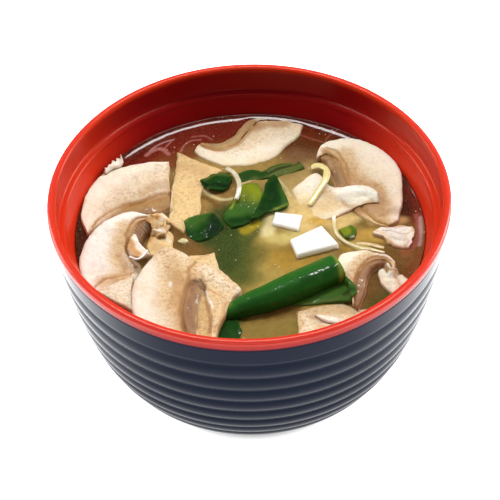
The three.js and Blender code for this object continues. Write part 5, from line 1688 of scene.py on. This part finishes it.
def area_light(name, place, aim, size, watts):
    """Links a white rectangular lamp that points at aim."""
    light = bpy.data.lights.new(name, "AREA")
    light.shape = "RECTANGLE"
    light.size, light.size_y = size
    light.energy = watts
    lamp = bpy.data.objects.new(name, light)
    lamp.location = place
    lamp.rotation_euler = (Vector(aim) - Vector(place)).to_track_quat("-Z", "Y").to_euler()
    bpy.context.scene.collection.objects.link(lamp)


def floor_distance(finish, centre):
    """Distance of the shaded point from a point of the floor."""
    sockets = {0: finish.place, 1: (*centre, 0)}
    node = finish.node("ShaderNodeVectorMath", {"operation": "DISTANCE"}, sockets)
    return Value(finish, node.outputs["Value"])


def floor_mesh(colour):
    """A square of pale paper that glows white but for a painted shadow under and in front of the
    bowl.
    """
    corners = [(-1, -1, 0), (1, -1, 0), (1, 1, 0), (-1, 1, 0)]
    mesh = bpy.data.meshes.new("floor")
    mesh.from_pydata(np.array(corners) * FLOOR_HALF, [], [(0, 1, 2, 3)])
    finish = Finish("floor_paper", Base_Color=colour, Emission_Strength=FLOOR_GLOW)
    near = floor_distance(finish, (0, 0)).between(*NEAR_GLOW)
    far = floor_distance(finish, GLOW_CENTRE).between(*FAR_GLOW)
    dark, grey, white = ((level,) * 3 for level in GLOW_GREYS)
    finish.surface(Emission_Color=finish.mix(far, finish.mix(near, dark, grey), white))
    mesh.materials.append(finish.made)
    return mesh


def studio_world(strength):
    """A world of even white light."""
    world = bpy.data.worlds.new("studio")
    world.use_nodes = True
    background = world.node_tree.nodes["Background"]
    background.inputs["Color"].default_value = (1, 1, 1, 1)
    background.inputs["Strength"].default_value = strength
    return world


class SOUP_OT_stage(Operator):
    """Set up the floor, lights and camera."""

    bl_idname = "soup.stage"
    bl_label = "Stage"

    def execute(self, context):
        scene = context.scene
        stage = scene.soup_stage
        view = (stage.distance, stage.elevation, stage.roll, stage.aim)
        place, right, up, ahead = camera_axes(*view)
        camera = bpy.data.objects.new("camera", bpy.data.cameras.new("camera"))
        camera.data.lens = stage.lens
        camera.data.sensor_width = SENSOR_WIDTH
        camera.data.clip_start = 0.01
        axes = Matrix((right, up, -ahead)).transposed().to_4x4()
        camera.matrix_world = Matrix.Translation(place) @ axes
        scene.collection.objects.link(camera)
        scene.camera = camera

        ground = bpy.data.objects.new("floor", floor_mesh(stage.floor))
        scene.collection.objects.link(ground)
        for light in LIGHTS:
            area_light(*light)

        scene.world = studio_world(stage.daylight)
        scene.view_settings.view_transform = "Standard"
        return {"FINISHED"}


# ---- Add-on ---------------------------------------------------------------------------------


class SOUP_PT_panel(Panel):
    """Lists the soup bowl's pieces and settings."""

    bl_label = "Soup Bowl"
    bl_idname = "SOUP_PT_panel"
    bl_space_type = "VIEW_3D"
    bl_region_type = "UI"
    bl_category = "Soup Bowl"

    def draw(self, context):
        for operator in OPERATORS:
            self.layout.operator(operator.bl_idname)
        for group in ("soup_bowl", "soup_food", "soup_stage"):
            settings = getattr(context.scene, group)
            box = self.layout.box()
            for key in settings.bl_rna.properties.keys():
                if key not in ("rna_type", "name"):
                    box.prop(settings, key)


OPERATORS = (
    SOUP_OT_bowl,
    SOUP_OT_broth,
    SOUP_OT_mushrooms,
    SOUP_OT_leaves,
    SOUP_OT_tofu,
    SOUP_OT_onion,
    SOUP_OT_green_onion,
    SOUP_OT_stage,
)
GROUPS = {"soup_bowl": BowlSettings, "soup_food": FoodSettings, "soup_stage": StageSettings}


def register():
    for cls in (*GROUPS.values(), *OPERATORS, SOUP_PT_panel):
        bpy.utils.register_class(cls)
    for key, group in GROUPS.items():
        setattr(bpy.types.Scene, key, PointerProperty(type=group))


def unregister():
    for key in GROUPS:
        delattr(bpy.types.Scene, key)
    for cls in reversed((*GROUPS.values(), *OPERATORS, SOUP_PT_panel)):
        bpy.utils.unregister_class(cls)


def main():
    register()
    for operator in OPERATORS:
        group, action = operator.bl_idname.split(".")
        getattr(getattr(bpy.ops, group), action)()


if __name__ == "__main__":
    main()
